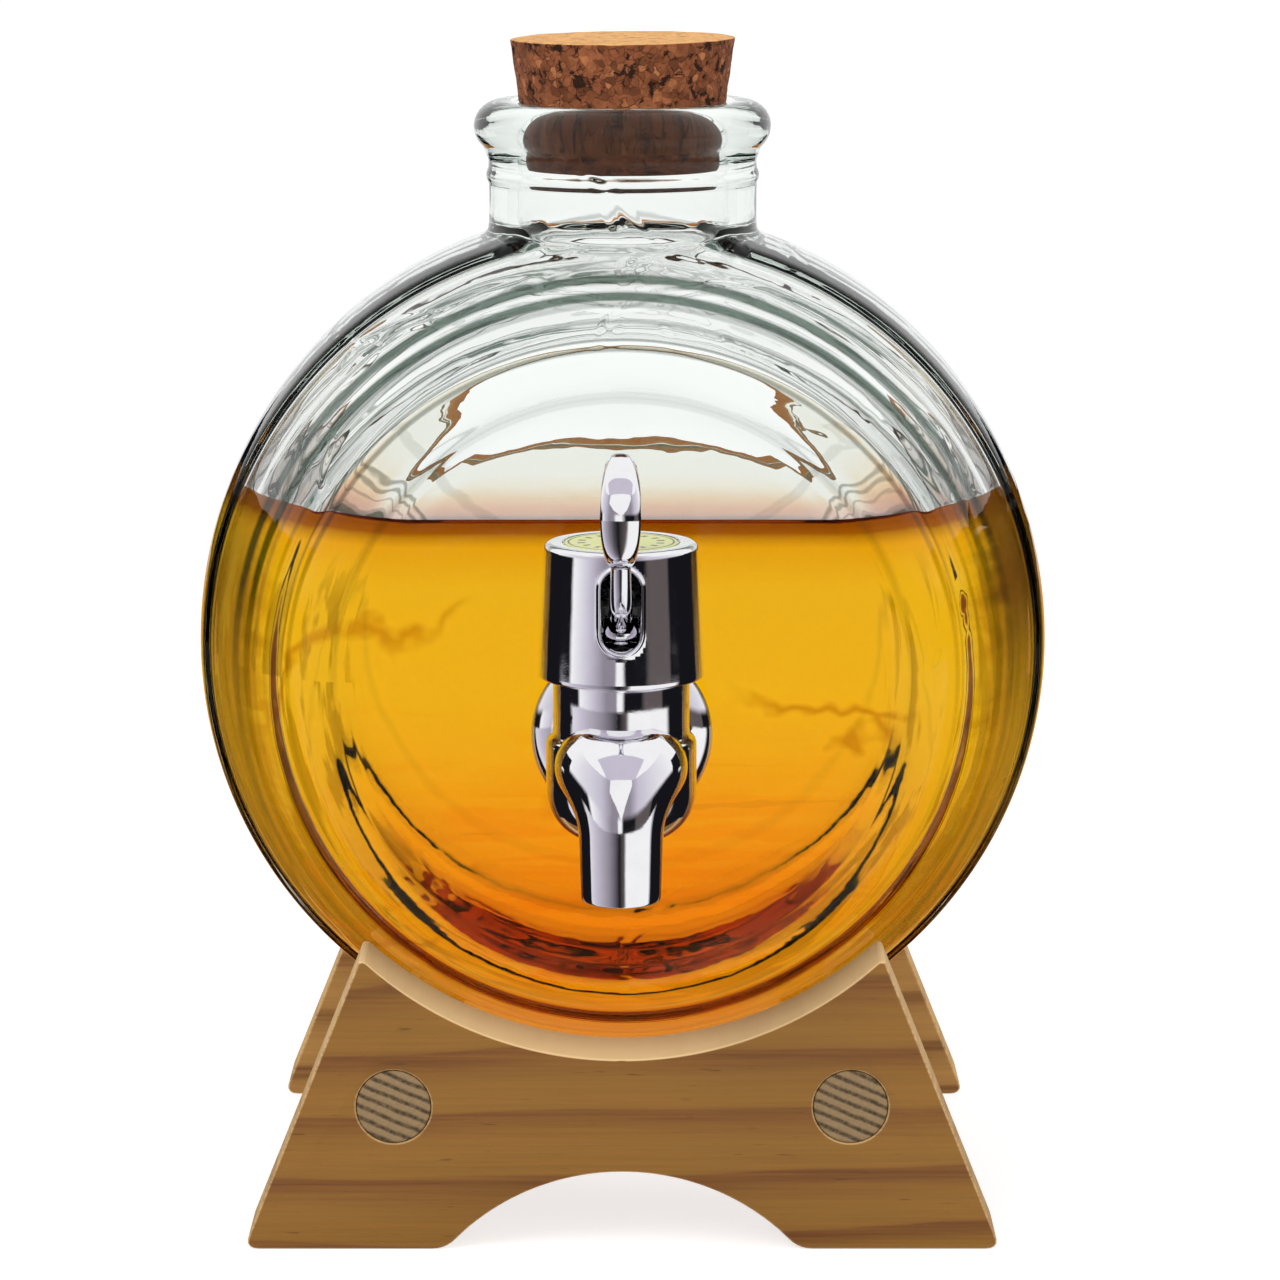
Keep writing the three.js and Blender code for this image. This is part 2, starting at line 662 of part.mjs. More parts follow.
// The pieces that clamp the shank to the glass, each a ring about the shank's axis.
function clampPieces() {
  const gasket = (name, outer, low) =>
    mesh(name, alongY(ring(threadClear, outer, low, low + gasketThickness)), finish.rubber);
  const hexRadius = nutAcrossFlats / 2 / Math.cos(Math.PI / nutSides);
  const nut = cutBy(
    solid(alongY(rod(hexRadius, nutFace, nutFace + nutThickness, nutSides))),
    solid(alongY(rod(threadClear, nutFace - overrun, nutFace + nutThickness + overrun))),
  );
  const washer = ring(threadClear, innerGasketRadius, washerFace, washerFace + washerThickness);
  return [
    gasket("outer_gasket", outerGasketRadius, flangeBack + seatGap),
    gasket("inner_gasket", innerGasketRadius, innerFace + seatGap),
    mesh("clamp_washer", alongY(washer), finish.steel),
    mesh("shank_nut", nut, finish.plastic, true),
  ];
}

// The whole tap, drawn from the point where its valve's axis crosses its shank's.
function tap() {
  const group = new THREE.Group();
  const pivot = new THREE.Group();
  pivot.position.set(0, -pivotForward, pivotHeight);
  pivot.add(tapLever(), leverPin());
  const stemRingRadius = stemRadius + seatGap + stemRingWire;
  const stemRingHeight = guideTop - grooveDepth + seatGap / 2 + stemRingWire;
  const capRingRadius = capBore - seatGap - capRingWire;
  group.add(
    tapBody(), tapCap(), capLabel(), pivot, valveStem(), valveSeal(), stemGuide(), returnSpring(),
    sealRing("stem_o_ring", stemRingRadius + seatGap / 2, stemRingWire, stemRingHeight),
    sealRing("cap_o_ring", capRingRadius, capRingWire, (bodyTop + collarTop) / 2),
    ...clampPieces(),
  );
  return group;
}

// The barrel with its cork and tap, drawn from the middle of the barrel's axis.
function vessel() {
  const group = new THREE.Group();
  const fitted = tap();
  fitted.position.set(0, -barrelHalfLength - tapReach, -shankDrop);
  group.add(glassBarrel(), corkStopper(), fitted);
  group.position.z = axisHeight;
  return group;
}

const assembly = new THREE.Group();
assembly.add(stand(), vessel());
assembly.position.y = originShift;

const dispenser = new THREE.Group();
dispenser.add(assembly);

export default dispenser;
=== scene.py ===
import math

import bmesh
import bpy
from bpy.props import FloatProperty, FloatVectorProperty, IntProperty, PointerProperty
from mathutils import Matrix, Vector, noise


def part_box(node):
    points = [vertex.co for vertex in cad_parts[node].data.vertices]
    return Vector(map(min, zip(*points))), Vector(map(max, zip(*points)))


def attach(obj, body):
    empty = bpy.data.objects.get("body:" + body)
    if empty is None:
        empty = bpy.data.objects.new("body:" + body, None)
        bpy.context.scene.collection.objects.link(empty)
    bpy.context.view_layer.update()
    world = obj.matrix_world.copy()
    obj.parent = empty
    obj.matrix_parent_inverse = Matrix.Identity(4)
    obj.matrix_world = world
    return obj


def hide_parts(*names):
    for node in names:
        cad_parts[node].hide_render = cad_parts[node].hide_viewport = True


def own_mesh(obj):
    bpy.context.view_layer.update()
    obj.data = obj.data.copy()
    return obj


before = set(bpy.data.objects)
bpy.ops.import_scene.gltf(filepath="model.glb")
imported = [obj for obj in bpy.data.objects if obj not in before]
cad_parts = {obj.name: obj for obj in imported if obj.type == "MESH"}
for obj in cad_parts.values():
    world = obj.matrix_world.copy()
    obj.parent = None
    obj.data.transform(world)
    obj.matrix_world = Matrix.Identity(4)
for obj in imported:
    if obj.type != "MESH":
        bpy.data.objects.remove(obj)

bl_info = {
    "name": "Glass Barrel Dispenser",
    "version": (1, 0, 0),
    "blender": (4, 5, 0),
    "location": "View3D > Sidebar > Dispenser",
    "description": "Dresses the solids of a glass barrel drink dispenser on a pine stand",
    "category": "Object",
}

MM = 0.001
FULL_TURN = 2 * math.pi
SAME_PLACE = 1e-7  # points nearer than this are one
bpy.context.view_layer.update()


def corners(node):
    """The low and high corners of a solid's box."""
    low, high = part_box(node)
    return Vector(low), Vector(high)


def middle(low, high):
    """The point halfway between two corners."""
    return (low + high) / 2


# Places read from the solids
BARREL_LOW, BARREL_HIGH = corners("glass_barrel")
BARREL_RADIUS = (BARREL_HIGH.x - BARREL_LOW.x) / 2
BARREL_HALF = (BARREL_HIGH.y - BARREL_LOW.y) / 2
BARREL_MIDDLE = Vector((0, (BARREL_LOW.y + BARREL_HIGH.y) / 2, BARREL_LOW.z + BARREL_RADIUS))
LIP_TOP = BARREL_HIGH.z
CORK_LOW, CORK_HIGH = corners("cork_stopper")
LABEL_LOW, LABEL_HIGH = corners("cap_label_disc")
CAP_LOW, CAP_HIGH = corners("tap_cap")
NUT_LOW, NUT_HIGH = corners("shank_nut")
GASKET_LOW, GASKET_HIGH = corners("outer_gasket")
BODY_LOW, BODY_HIGH = corners("tap_body")
PIN = middle(*corners("lever_pin"))
VALVE = Vector((0, middle(LABEL_LOW, LABEL_HIGH).y, middle(NUT_LOW, NUT_HIGH).z))  # where both axes cross
FRONT_LOW, FRONT_HIGH = corners("front_cradle_board")
REAR_LOW, REAR_HIGH = corners("rear_cradle_board")
SPRING_LOW, SPRING_HIGH = corners("return_spring")

# Outlines of the glass from its middle to its head: shares of the half length, and of the radius
OUTSIDE_SHARES = [
    (0, 1), (0.17, 0.997), (0.3, 0.989), (0.363, 0.978), (0.385, 0.96), (0.47, 0.946), (0.588, 0.916),
    (0.686, 0.883), (0.765, 0.8525), (0.833, 0.823), (0.873, 0.799), (0.894, 0.771), (0.929, 0.75),
    (0.961, 0.722), (0.986, 0.683), (1, 0.64),
]
INSIDE_SHARES = [
    (0, 1), (0.18, 0.997), (0.33, 0.989), (0.43, 0.968), (0.52, 0.945), (0.64, 0.912), (0.76, 0.87),
    (0.84, 0.833), (0.89, 0.8), (0.93, 0.768), (0.96, 0.735), (0.985, 0.694), (1, 0.65),
]
HOOPS = (  # length share, width share, height as a share of the waves
    (0.52, 0.030, 1.5), (0.66, 0.026, -1.6), (0.78, 0.022, 1.8), (0.88, 0.016, -1.5),
)
# Painted shade: these rings darken the glass's colour, standing in for the dark lines that its steps show
RING_SHADES = (  # radius, half width and strength of the rings where the glass is thick
    (69.4, 0.7, 0.5), (67.2, 0.35, 0.3), (61.2, 1.0, 1.25), (57.9, 0.5, 0.6), (53.9, 0.6, 0.8),
    (46.2, 0.8, 0.3),
)
INSIDE_SEED = 3.0  # of the waves where the glass and the drink meet
HEAD_SHARES = (0.6, 0.55, 0.5, 0.45, 0.4, 0.35, 0.3, 0.26, 0.22, 0.19, 0.165, 0.145, 0.13, 0.12)


# Sizes and colours that a user would change

class StandSizes(bpy.types.PropertyGroup):
    edge_round: FloatProperty(
        name="Edge rounding", description="Radius of the boards' sanded edges", default=0.5 * MM,
        unit="LENGTH")
    front_colour: FloatVectorProperty(
        name="Front board", description="Pine of the front board", subtype="COLOR", size=3, min=0, max=1,
        default=(0.325, 0.150, 0.024))
    rear_colour: FloatVectorProperty(
        name="Rear board", description="Pine of the rear board", subtype="COLOR", size=3, min=0, max=1,
        default=(0.53, 0.28, 0.075))
    grain_colour: FloatVectorProperty(
        name="Grain", description="Late wood between the pale bands", subtype="COLOR", size=3, min=0, max=1,
        default=(0.17, 0.052, 0.015))
    # Painted light: a pale cream for the cradle's hollow and the boards' narrow faces, standing in for the
    # light that falls there and is focused through the glass
    lip_light_colour: FloatVectorProperty(
        name="Cradle lip", description="Fresh cut wood in the cradle's hollow", subtype="COLOR", size=3,
        min=0, max=1, default=(1.0, 0.68, 0.33))
    dowel_colour: FloatVectorProperty(
        name="Dowels", description="Wood of the dowels", subtype="COLOR", size=3, min=0, max=1,
        default=(0.34, 0.225, 0.11))


class GlassSizes(bpy.types.PropertyGroup):
    wall: FloatProperty(
        name="Wall", description="Thickness of the barrel's wall", default=4 * MM, unit="LENGTH")
    head: FloatProperty(
        name="Head", description="Thickness of the barrel's heads", default=5 * MM, unit="LENGTH")
    columns: IntProperty(
        name="Columns", description="Faces round the barrel", default=240, min=48)
    waves: FloatProperty(
        name="Waves", description="Height of the blown glass's waves inside", default=0.16 * MM,
        unit="LENGTH")
    tint: FloatVectorProperty(
        name="Tint", description="Colour that thick glass passes", subtype="COLOR", size=3, min=0, max=1,
        default=(0.64, 0.74, 0.68))
    tint_density: FloatProperty(
        name="Tint density", description="How fast the glass takes light, for each metre", default=30)


class DrinkSizes(bpy.types.PropertyGroup):
    level: FloatProperty(
        name="Level", description="Height of the drink's surface over the ground", default=118.4 * MM,
        unit="LENGTH")
    rise: FloatProperty(
        name="Edge rise", description="How far the surface climbs the glass", default=1.1 * MM, unit="LENGTH")
    colour: FloatVectorProperty(
        name="Colour", description="Colour that the drink passes", subtype="COLOR", size=3, min=0, max=1,
        default=(0.984, 0.882, 0.06))
    density: FloatProperty(
        name="Density", description="How fast the drink takes light, for each metre", default=70)


class CorkSizes(bpy.types.PropertyGroup):
    roughness: FloatProperty(
        name="Pits", description="Depth of the pits in the cork's side", default=0.34 * MM, unit="LENGTH")
    top_colour: FloatVectorProperty(
        name="Top", description="Cut top of the cork", subtype="COLOR", size=3, min=0, max=1,
        default=(1.0, 0.54, 0.19))
    side_colour: FloatVectorProperty(
        name="Side", description="Granules on the cork's side", subtype="COLOR", size=3, min=0, max=1,
        default=(0.34, 0.105, 0.038))


class TapSizes(bpy.types.PropertyGroup):
    chrome: FloatVectorProperty(
        name="Chrome", description="Colour of the plating", subtype="COLOR", size=3, min=0, max=1,
        default=(0.88, 0.875, 0.9))
    label_colour: FloatVectorProperty(
        name="Label", description="Disc on the cap's top", subtype="COLOR", size=3, min=0, max=1,
        default=(0.83, 0.84, 0.27))


class StageSizes(bpy.types.PropertyGroup):
    lens: FloatProperty(
        name="Lens", description="Focal length in millimetres", default=135.6)
    eye: FloatVectorProperty(
        name="Camera", description="The camera's place", size=3, subtype="TRANSLATION",
        default=(0.0029, -0.7835, 0.2407))
    pitch: FloatProperty(
        name="Pitch", description="How far the camera looks down", default=math.radians(10.5),
        unit="ROTATION")
    room_light: FloatProperty(
        name="Room light", description="Strength of the even light round the object", default=0.62)


# Lines and rings of points

def smoothed(points, per=6):
    """More points on a smooth line that runs through all the points."""
    pts = [Vector(p) for p in points]
    pts = [2 * pts[0] - pts[1], *pts, 2 * pts[-1] - pts[-2]]
    out = []
    for i in range(1, len(pts) - 2):
        p0, p1, p2, p3 = pts[i - 1:i + 3]
        t0 = 0.0
        t1 = t0 + max((p1 - p0).length, 1e-9) ** 0.5
        t2 = t1 + max((p2 - p1).length, 1e-9) ** 0.5
        t3 = t2 + max((p3 - p2).length, 1e-9) ** 0.5
        for k in range(per):
            t = t1 + (t2 - t1) * k / per
            a1 = p0.lerp(p1, (t - t0) / (t1 - t0))
            a2 = p1.lerp(p2, (t - t1) / (t2 - t1))
            a3 = p2.lerp(p3, (t - t2) / (t3 - t2))
            b1 = a1.lerp(a2, (t - t0) / (t2 - t0))
            b2 = a2.lerp(a3, (t - t1) / (t3 - t1))
            out.append(b1.lerp(b2, (t - t1) / (t2 - t1)))
    out.append(pts[-2].copy())
    return out


def turns(count):
    """That many angles, evenly spaced round a full turn."""
    return [FULL_TURN * k / count for k in range(count)]


def squared(value, power):
    """A sine or cosine pushed out towards a square's side, as the power falls below 1."""
    return math.copysign(abs(value) ** power, value)


def arc(centre, radius, start, end, steps):
    """Points on an arc in the plane of a profile, angles in degrees."""
    out = []
    for i in range(steps + 1):
        a = math.radians(start + (end - start) * i / steps)
        out.append((centre[0] + radius * math.cos(a), centre[1] + radius * math.sin(a)))
    return out


def walked(links, start):
    """The members of a closed chain in order, from the neighbours of each."""
    chain, last, here = [start], None, start
    while True:
        onward = [member for member in links[here] if member != last]
        last, here = here, onward[0]
        if here == start:
            return chain
        chain.append(here)


class Skin:
    """Points and faces of one piece, gathered ring by ring."""

    def __init__(self):
        self.points = []
        self.faces = []

    def ring(self, points):
        start = len(self.points)
        self.points.extend(Vector(p) for p in points)
        return list(range(start, len(self.points)))

    def band(self, first, second):
        count = len(first)
        for i in range(count):
            j = (i + 1) % count
            self.faces.append((first[i], first[j], second[j], second[i]))

    def bands(self, rings):
        for first, second in zip(rings, rings[1:]):
            self.band(first, second)

    def fan(self, ring, point):
        tip = self.ring([point])[0]
        for i in range(len(ring)):
            self.faces.append((ring[i], ring[(i + 1) % len(ring)], tip))

    def cap(self, ring):
        self.fan(ring, sum((self.points[i] for i in ring), Vector()) / len(ring))

    def closed(self, rings):
        self.bands(rings)
        self.cap(rings[0])
        self.cap(rings[-1])

    def stitch(self, first, second):
        """Triangles between two closed rings that run the same way round, with different counts."""
        p = self.points
        near = min(range(len(second)), key=lambda k: (p[second[k]] - p[first[0]]).length)
        second = second[near:] + second[:near]
        i = j = 0
        while i < len(first) or j < len(second):
            a, b = first[i % len(first)], second[j % len(second)]
            next_a, next_b = first[(i + 1) % len(first)], second[(j + 1) % len(second)]
            step_a = j >= len(second) or (
                i < len(first) and (p[next_a] - p[b]).length <= (p[next_b] - p[a]).length)
            if step_a:
                self.faces.append((a, next_a, b))
                i += 1
            else:
                self.faces.append((a, next_b, b))
                j += 1

    def open_up(self, rings, inside):
        """Joins rings by quads, but leaves out each quad with a point inside. Returns the hole's rim."""
        kept, edges = [], {}
        for first, second in zip(rings, rings[1:]):
            count = len(first)
            for i in range(count):
                j = (i + 1) % count
                face = (first[i], first[j], second[j], second[i])
                gone = any(inside(self.points[k]) for k in face)
                if not gone:
                    kept.append(face)
                for k in range(4):
                    edge = frozenset((face[k], face[(k + 1) % 4]))
                    edges.setdefault(edge, []).append(gone)
        self.faces.extend(kept)
        links = {}
        for edge, sides in edges.items():
            if len(sides) == 2 and sides[0] != sides[1]:
                a, b = tuple(edge)
                links.setdefault(a, []).append(b)
                links.setdefault(b, []).append(a)
        return walked(links, min(links))

    def piece(self, name, material, smooth=True):
        """A mesh object of the points and faces, closed, smooth and facing outwards."""
        data = bpy.data.meshes.new(name)
        bm = bmesh.new()
        verts = [bm.verts.new(p) for p in self.points]
        for face in self.faces:
            if len(set(face)) == len(face):
                try:
                    bm.faces.new([verts[k] for k in face])
                except ValueError:
                    pass
        bmesh.ops.delete(bm, geom=[v for v in bm.verts if not v.link_faces], context="VERTS")
        bmesh.ops.remove_doubles(bm, verts=bm.verts, dist=SAME_PLACE)
        bmesh.ops.recalc_face_normals(bm, faces=bm.faces)
        for face in bm.faces:
            face.smooth = smooth
        bm.to_mesh(data)
        bm.free()
        return placed(name, data, material)


def placed(name, data, material):
    obj = bpy.data.objects.new(name, data)
    bpy.context.scene.collection.objects.link(obj)
    data.materials.clear()
    data.materials.append(material)
    return obj


def same_way(skin, ring, wanted, turn):
    """The ring, turned round unless it runs the same way as the wanted one. The last value is a function
    that flattens a point."""
    def area(indices):
        flat = [turn(skin.points[i]) for i in indices]
        return sum(a[0] * b[1] - b[0] * a[1] for a, b in zip(flat, flat[1:] + flat[:1]))
    return ring if area(ring) * area(wanted) > 0 else ring[::-1]


def about_z(centre, radius, height, steps, start=0.0):
    """A level ring of points about an upright axis."""
    return [Vector((centre.x + radius * math.cos(start + a), centre.y + radius * math.sin(start + a), height))
            for a in turns(steps)]


def about_y(centre, radius, depth, steps):
    """An upright ring of points about an axis that runs front to back."""
    return [Vector((centre.x + radius * math.sin(a), depth, centre.z + radius * math.cos(a)))
            for a in turns(steps)]


def turned(skin, profile, centre, steps, axis="Z"):
    """Adds a closed body turned from (radius, height) points. A radius of 0 closes an end in a point."""
    rings = []
    for radius, height in profile:
        if axis == "Z":
            tip = Vector((centre.x, centre.y, centre.z + height))
            points = about_z(centre, radius, centre.z + height, steps)
        else:
            tip = Vector((centre.x, centre.y + height, centre.z))
            points = about_y(centre, radius, centre.y + height, steps)
        rings.append(skin.ring([tip] * steps if radius == 0 else points))
    skin.bands(rings)


def lengths(points):
    """Points in millimetres, turned into metres."""
    return [tuple(MM * c for c in p) for p in points]


# Materials

def shade(colour, factor):
    """The colour, darker or lighter by a factor."""
    return tuple(min(1, c * factor) for c in colour)


class Nodes:
    """Helps to lay out the nodes of a material or of the world."""

    def __init__(self, owner, output):
        owner.use_nodes = True
        self.tree = owner.node_tree
        self.tree.nodes.clear()
        self.out = self.node(output)

    def node(self, kind, **settings):
        made = self.tree.nodes.new(kind)
        for key, value in settings.items():
            setattr(made, key, value)
        return made

    def link(self, start, end):
        self.tree.links.new(start, end)

    def feed(self, socket, value):
        if isinstance(value, bpy.types.NodeSocket):
            self.link(value, socket)
        elif socket.type == "RGBA":
            socket.default_value = (*value, 1)
        else:
            socket.default_value = value

    def made(self, kind, output, inputs, **settings):
        """One output of a new node, whose inputs are given by name or number."""
        node = self.node(kind, **settings)
        for key, value in inputs.items():
            self.feed(node.inputs[key], value)
        return node.outputs[output]

    def show(self, piece):
        self.link(piece.outputs[0], self.out.inputs["Surface"])

    def seen_or_lit(self, seen, lit):
        """What the camera, gloss and glass see, and what lights the rest."""
        path = self.node("ShaderNodeLightPath").outputs
        direct = self.math("ADD", path["Is Camera Ray"], path["Is Glossy Ray"], clamp=True)
        mix = self.node("ShaderNodeMixShader")
        self.link(self.math("ADD", direct, path["Is Transmission Ray"], clamp=True), mix.inputs["Fac"])
        self.link(lit.outputs[0], mix.inputs[1])
        self.link(seen.outputs[0], mix.inputs[2])
        self.show(mix)

    def mapped(self, scale=(1, 1, 1), turn=(0, 0, 0), place=(0, 0, 0), source=None):
        return self.made("ShaderNodeMapping", "Vector", {
            "Vector": source or self.coord, "Scale": scale, "Rotation": turn, "Location": place})

    def noise(self, vector, scale, detail=2.0, roughness=0.5, distortion=0.0):
        return self.made("ShaderNodeTexNoise", "Fac", {
            "Vector": vector, "Scale": scale, "Detail": detail, "Roughness": roughness,
            "Distortion": distortion})

    def warped(self, scale, reach, detail=2.0):
        """The object's coordinates, pushed about by a noise."""
        push = self.made("ShaderNodeTexNoise", "Color", {
            "Vector": self.coord, "Scale": scale, "Detail": detail})
        return self.made("ShaderNodeVectorMath", 0, {0: push, 1: (reach, reach, reach), 2: self.coord},
                         operation="MULTIPLY_ADD")

    def cells(self, vector, scale, feature="F1", output="Distance"):
        return self.made("ShaderNodeTexVoronoi", output, {"Vector": vector, "Scale": scale}, feature=feature)

    def math(self, operation, a, b=0.5, c=0.5, clamp=False):
        return self.made("ShaderNodeMath", 0, {0: a, 1: b, 2: c}, operation=operation, use_clamp=clamp)

    def times(self, first, *others):
        for other in others:
            first = self.math("MULTIPLY", first, other)
        return first

    def less(self, a, b):
        return self.math("SUBTRACT", a, b)

    def reach(self, x, y):
        """The distance of a point from an axis."""
        return self.math("SQRT", self.math("ADD", self.times(x, x), self.times(y, y)))

    def normal(self):
        """The three parts of the surface's direction."""
        return self.split(self.node("ShaderNodeNewGeometry").outputs["Normal"])

    def facing(self):
        """0 where the surface faces the viewer, and 1 where it is seen edge on."""
        return self.node("ShaderNodeLayerWeight").outputs["Facing"]

    def absorb(self, colour, density):
        """Fills the body with something clear that takes light with depth."""
        depth = self.made("ShaderNodeVolumeAbsorption", 0, {"Color": tuple(colour), "Density": density})
        self.link(depth, self.out.inputs["Volume"])

    def eased(self, value, low, high, to_low=0.0, to_high=1.0):
        return self.ranged(value, low, high, to_low, to_high, "SMOOTHSTEP")

    def ranged(self, value, low, high, to_low=0.0, to_high=1.0, way="LINEAR"):
        return self.made("ShaderNodeMapRange", "Result", {
            "Value": value, "From Min": low, "From Max": high, "To Min": to_low, "To Max": to_high},
            interpolation_type=way)

    def mix(self, factor, a, b):
        return self.made("ShaderNodeMix", "Result", {"Factor": factor, "A": a, "B": b}, data_type="RGBA")

    def ramp(self, value, stops):
        made = self.node("ShaderNodeValToRGB")
        self.feed(made.inputs["Fac"], value)
        points = made.color_ramp.elements
        while len(points) < len(stops):
            points.new(1)
        for point, (place, colour) in zip(points, stops):
            point.position = place
            point.color = (*colour, 1) if len(colour) == 3 else (colour[0],) * 3 + (1,)
        return made.outputs["Color"]

    def split(self, vector):
        made = self.node("ShaderNodeSeparateXYZ")
        self.feed(made.inputs["Vector"], vector)
        return made.outputs

    def bump(self, height, strength, distance, normal=None):
        inputs = {"Height": height, "Strength": strength, "Distance": distance}
        if normal:
            inputs["Normal"] = normal
        return self.made("ShaderNodeBump", "Normal", inputs)


class Plain(Nodes):
    """A material with no surface yet."""

    def __init__(self, name):
        self.material = bpy.data.materials.new(name)
        super().__init__(self.material, "ShaderNodeOutputMaterial")
        self.coord = self.node("ShaderNodeTexCoord").outputs["Object"]


class Shader(Plain):
    """A material with one surface, whose values are set by name."""

    def __init__(self, name):
        super().__init__(name)
        self.surface = self.node("ShaderNodeBsdfPrincipled")
        self.show(self.surface)

    def set(self, **values):
        for key, value in values.items():
            self.feed(self.surface.inputs[key.replace("_", " ")], value)


def pine_material(name, base, grain, lip, offset):
    """Sawn pine whose bands run nearly level along X, with painted light in the cradle's hollow and on the
    narrow faces: a pale cream that stands in for the light falling there and focused through the glass.
    """
    s = Shader(name)
    moved = s.mapped(place=offset)
    x, _, z = s.split(moved)
    slow = s.noise(s.mapped(scale=(7, 5, 16), source=moved), 1.0)
    drift = s.math("MULTIPLY_ADD", s.less(slow, 0.5), 0.020, z)
    level = s.math("MULTIPLY_ADD", x, -0.035, drift)
    stretch = s.math("POWER", s.math("ADD", level, 0.03), 0.72)
    phase = s.math("FRACT", s.times(stretch, 58.0))
    bands = s.ramp(phase, [
        (0.0, (0.10,)), (0.25, (0.0,)), (0.45, (0.12,)), (0.62, (0.38,)), (0.76, (0.8,)), (0.86, (1.0,)),
        (0.92, (0.9,)), (0.955, (0.25,)), (1.0, (0.10,)),
    ])
    patch = s.noise(s.mapped(scale=(10, 10, 60), source=moved), 1.0, 3, 0.6)
    fibre = s.noise(s.mapped(scale=(28, 60, 1500), source=moved), 1.0, 4, 0.65, 0.2)
    streak = s.noise(s.mapped(scale=(14, 60, 420), source=moved), 1.0, 3, 0.7)
    bands = s.math("MULTIPLY", bands, s.ranged(patch, 0.3, 0.7, 0.7, 1.0), clamp=True)
    colour = s.mix(bands, base, grain)
    colour = s.mix(s.ranged(streak, 0.5, 0.78, 0, 0.32), colour, shade(base, 0.52))
    colour = s.mix(s.ranged(fibre, 0.35, 0.7, 0, 0.42), colour, shade(base, 1.28))
    fleck = s.noise(s.mapped(scale=(160, 160, 1900), source=moved), 1.0, 1)
    colour = s.mix(s.ranged(fleck, 0.72, 0.8, 0, 0.5), colour, shade(grain, 0.3))
    _, frontward, upward = s.normal()
    height = s.split(s.coord)[2]
    # Painted light: faces turned up in the cradle's hollow take the pale lip colour, standing in for the
    # light falling on them through the glass
    hollow = s.math("MULTIPLY", s.eased(upward, 0.25, 0.6),
                    s.ranged(height, 0.026, 0.030), clamp=True)
    colour = s.mix(s.times(hollow, 0.9), colour, lip)
    # Painted light: faces that don't face front or back take some of the pale lip colour, standing in for the
    # light their edges catch
    edge = s.times(s.eased(s.math("ABSOLUTE", frontward), 0.75, 0.97, 1, 0),
                   s.ranged(fibre, 0.35, 0.6, 0.25, 0.6))
    colour = s.mix(edge, colour, lip)
    heights = s.math("MULTIPLY_ADD", fibre, 0.6, s.times(bands, 0.35))
    s.set(Base_Color=colour, Roughness=s.ranged(fibre, 0.3, 0.7, 0.5, 0.68),
          Normal=s.bump(heights, 0.32, 0.0003), Specular_IOR_Level=0.32)
    return s.material


def dowel_material(base):
    """A rod of pine: rings show as slanting stripes on its ends, and as long streaks on its side."""
    s = Shader("dowel_pine_wood")
    tilt, ring_width = math.radians(-24), 1.72 * MM
    across = s.split(s.mapped(turn=(0, tilt, 0)))[2]
    wobble = s.noise(s.mapped(scale=(130, 12, 130)), 1.0)
    rings = s.math("MULTIPLY_ADD", s.less(wobble, 0.5), 0.0010, across)
    phase = s.math("FRACT", s.times(rings, 1 / ring_width))
    stripe = s.ramp(phase, [(0.0, (0.3,)), (0.12, (0.0,)), (0.5, (0.0,)), (0.68, (1.0,)), (0.88, (1.0,)),
                            (1.0, (0.3,))])
    pores = s.noise(s.mapped(scale=(1500, 40, 1500)), 1.0, 3, 0.6)
    colour = s.mix(stripe, base, shade(base, 0.24))
    colour = s.mix(s.ranged(pores, 0.4, 0.7, 0, 0.3), colour, shade(base, 1.5))
    heights = s.math("MULTIPLY_ADD", stripe, -0.6, pores)
    s.set(Base_Color=colour, Roughness=s.ranged(pores, 0.3, 0.7, 0.6, 0.78),
          Normal=s.bump(heights, 0.5, 0.0004), Specular_IOR_Level=0.25)
    return s.material


def glass_material(sizes):
    """Clear glass with a faint green depth, slow waves and a few cords left by the blowing. Its colour
    carries painted shade: darker where it is seen edge on, and dark green rings where the glass steps.
    """
    s = Shader("bottle_glass")
    waves = s.noise(s.mapped(scale=(1, 2.2, 1)), 38.0, 2, 0.55, 0.6)
    fine = s.noise(s.mapped(scale=(1, 1, 1.6)), 150.0)
    cord = s.eased(s.cells(s.warped(45, 0.014), 19.0, "DISTANCE_TO_EDGE"), 0.0, 0.028, 1, 0)
    mask = s.eased(s.noise(s.coord, 22.0, 1), 0.5, 0.6)
    normal = s.bump(s.times(cord, mask), 0.16, 0.0006)
    normal = s.bump(fine, 0.025, 0.0009, normal)
    normal = s.bump(waves, 0.06, 0.0025, normal)
    # Painted shade: the glass's colour darkens where it is seen edge on, standing in for its dark rims
    grazing_shade = s.eased(s.facing(), 0.55, 0.98)
    tone = s.mix(grazing_shade, (0.985, 0.99, 0.985), (0.80, 0.85, 0.82))
    x, _, z = s.split(s.coord)
    rise = s.less(z, BARREL_MIDDLE.z)
    drift = s.noise(s.coord, 16.0, 2, 0.5, 0.3)
    wander = s.math("MULTIPLY_ADD", s.less(drift, 0.5), 0.0016, s.reach(x, rise))
    strength = s.times(s.eased(rise, -0.02, 0.03, 0.25, 1.0), s.ranged(drift, 0.35, 0.55, 0.5, 1))
    # Painted shade: dark green rings mixed into the glass's colour where it steps
    for place, half, depth in RING_SHADES:
        away = s.math("ABSOLUTE", s.less(wander, place * MM))
        line = s.eased(away, 0.25 * half * MM, half * MM, 1, 0)
        mask = s.math("MULTIPLY", s.times(line, strength), depth, clamp=True)
        tone = s.mix(mask, tone, (0.03, 0.055, 0.04))
    s.set(Normal=normal, Base_Color=tone, Roughness=0.0, IOR=1.5, Transmission_Weight=1.0,
          Specular_Tint=(0.22, 0.23, 0.22))
    s.absorb(sizes.tint, sizes.tint_density)
    return s.material


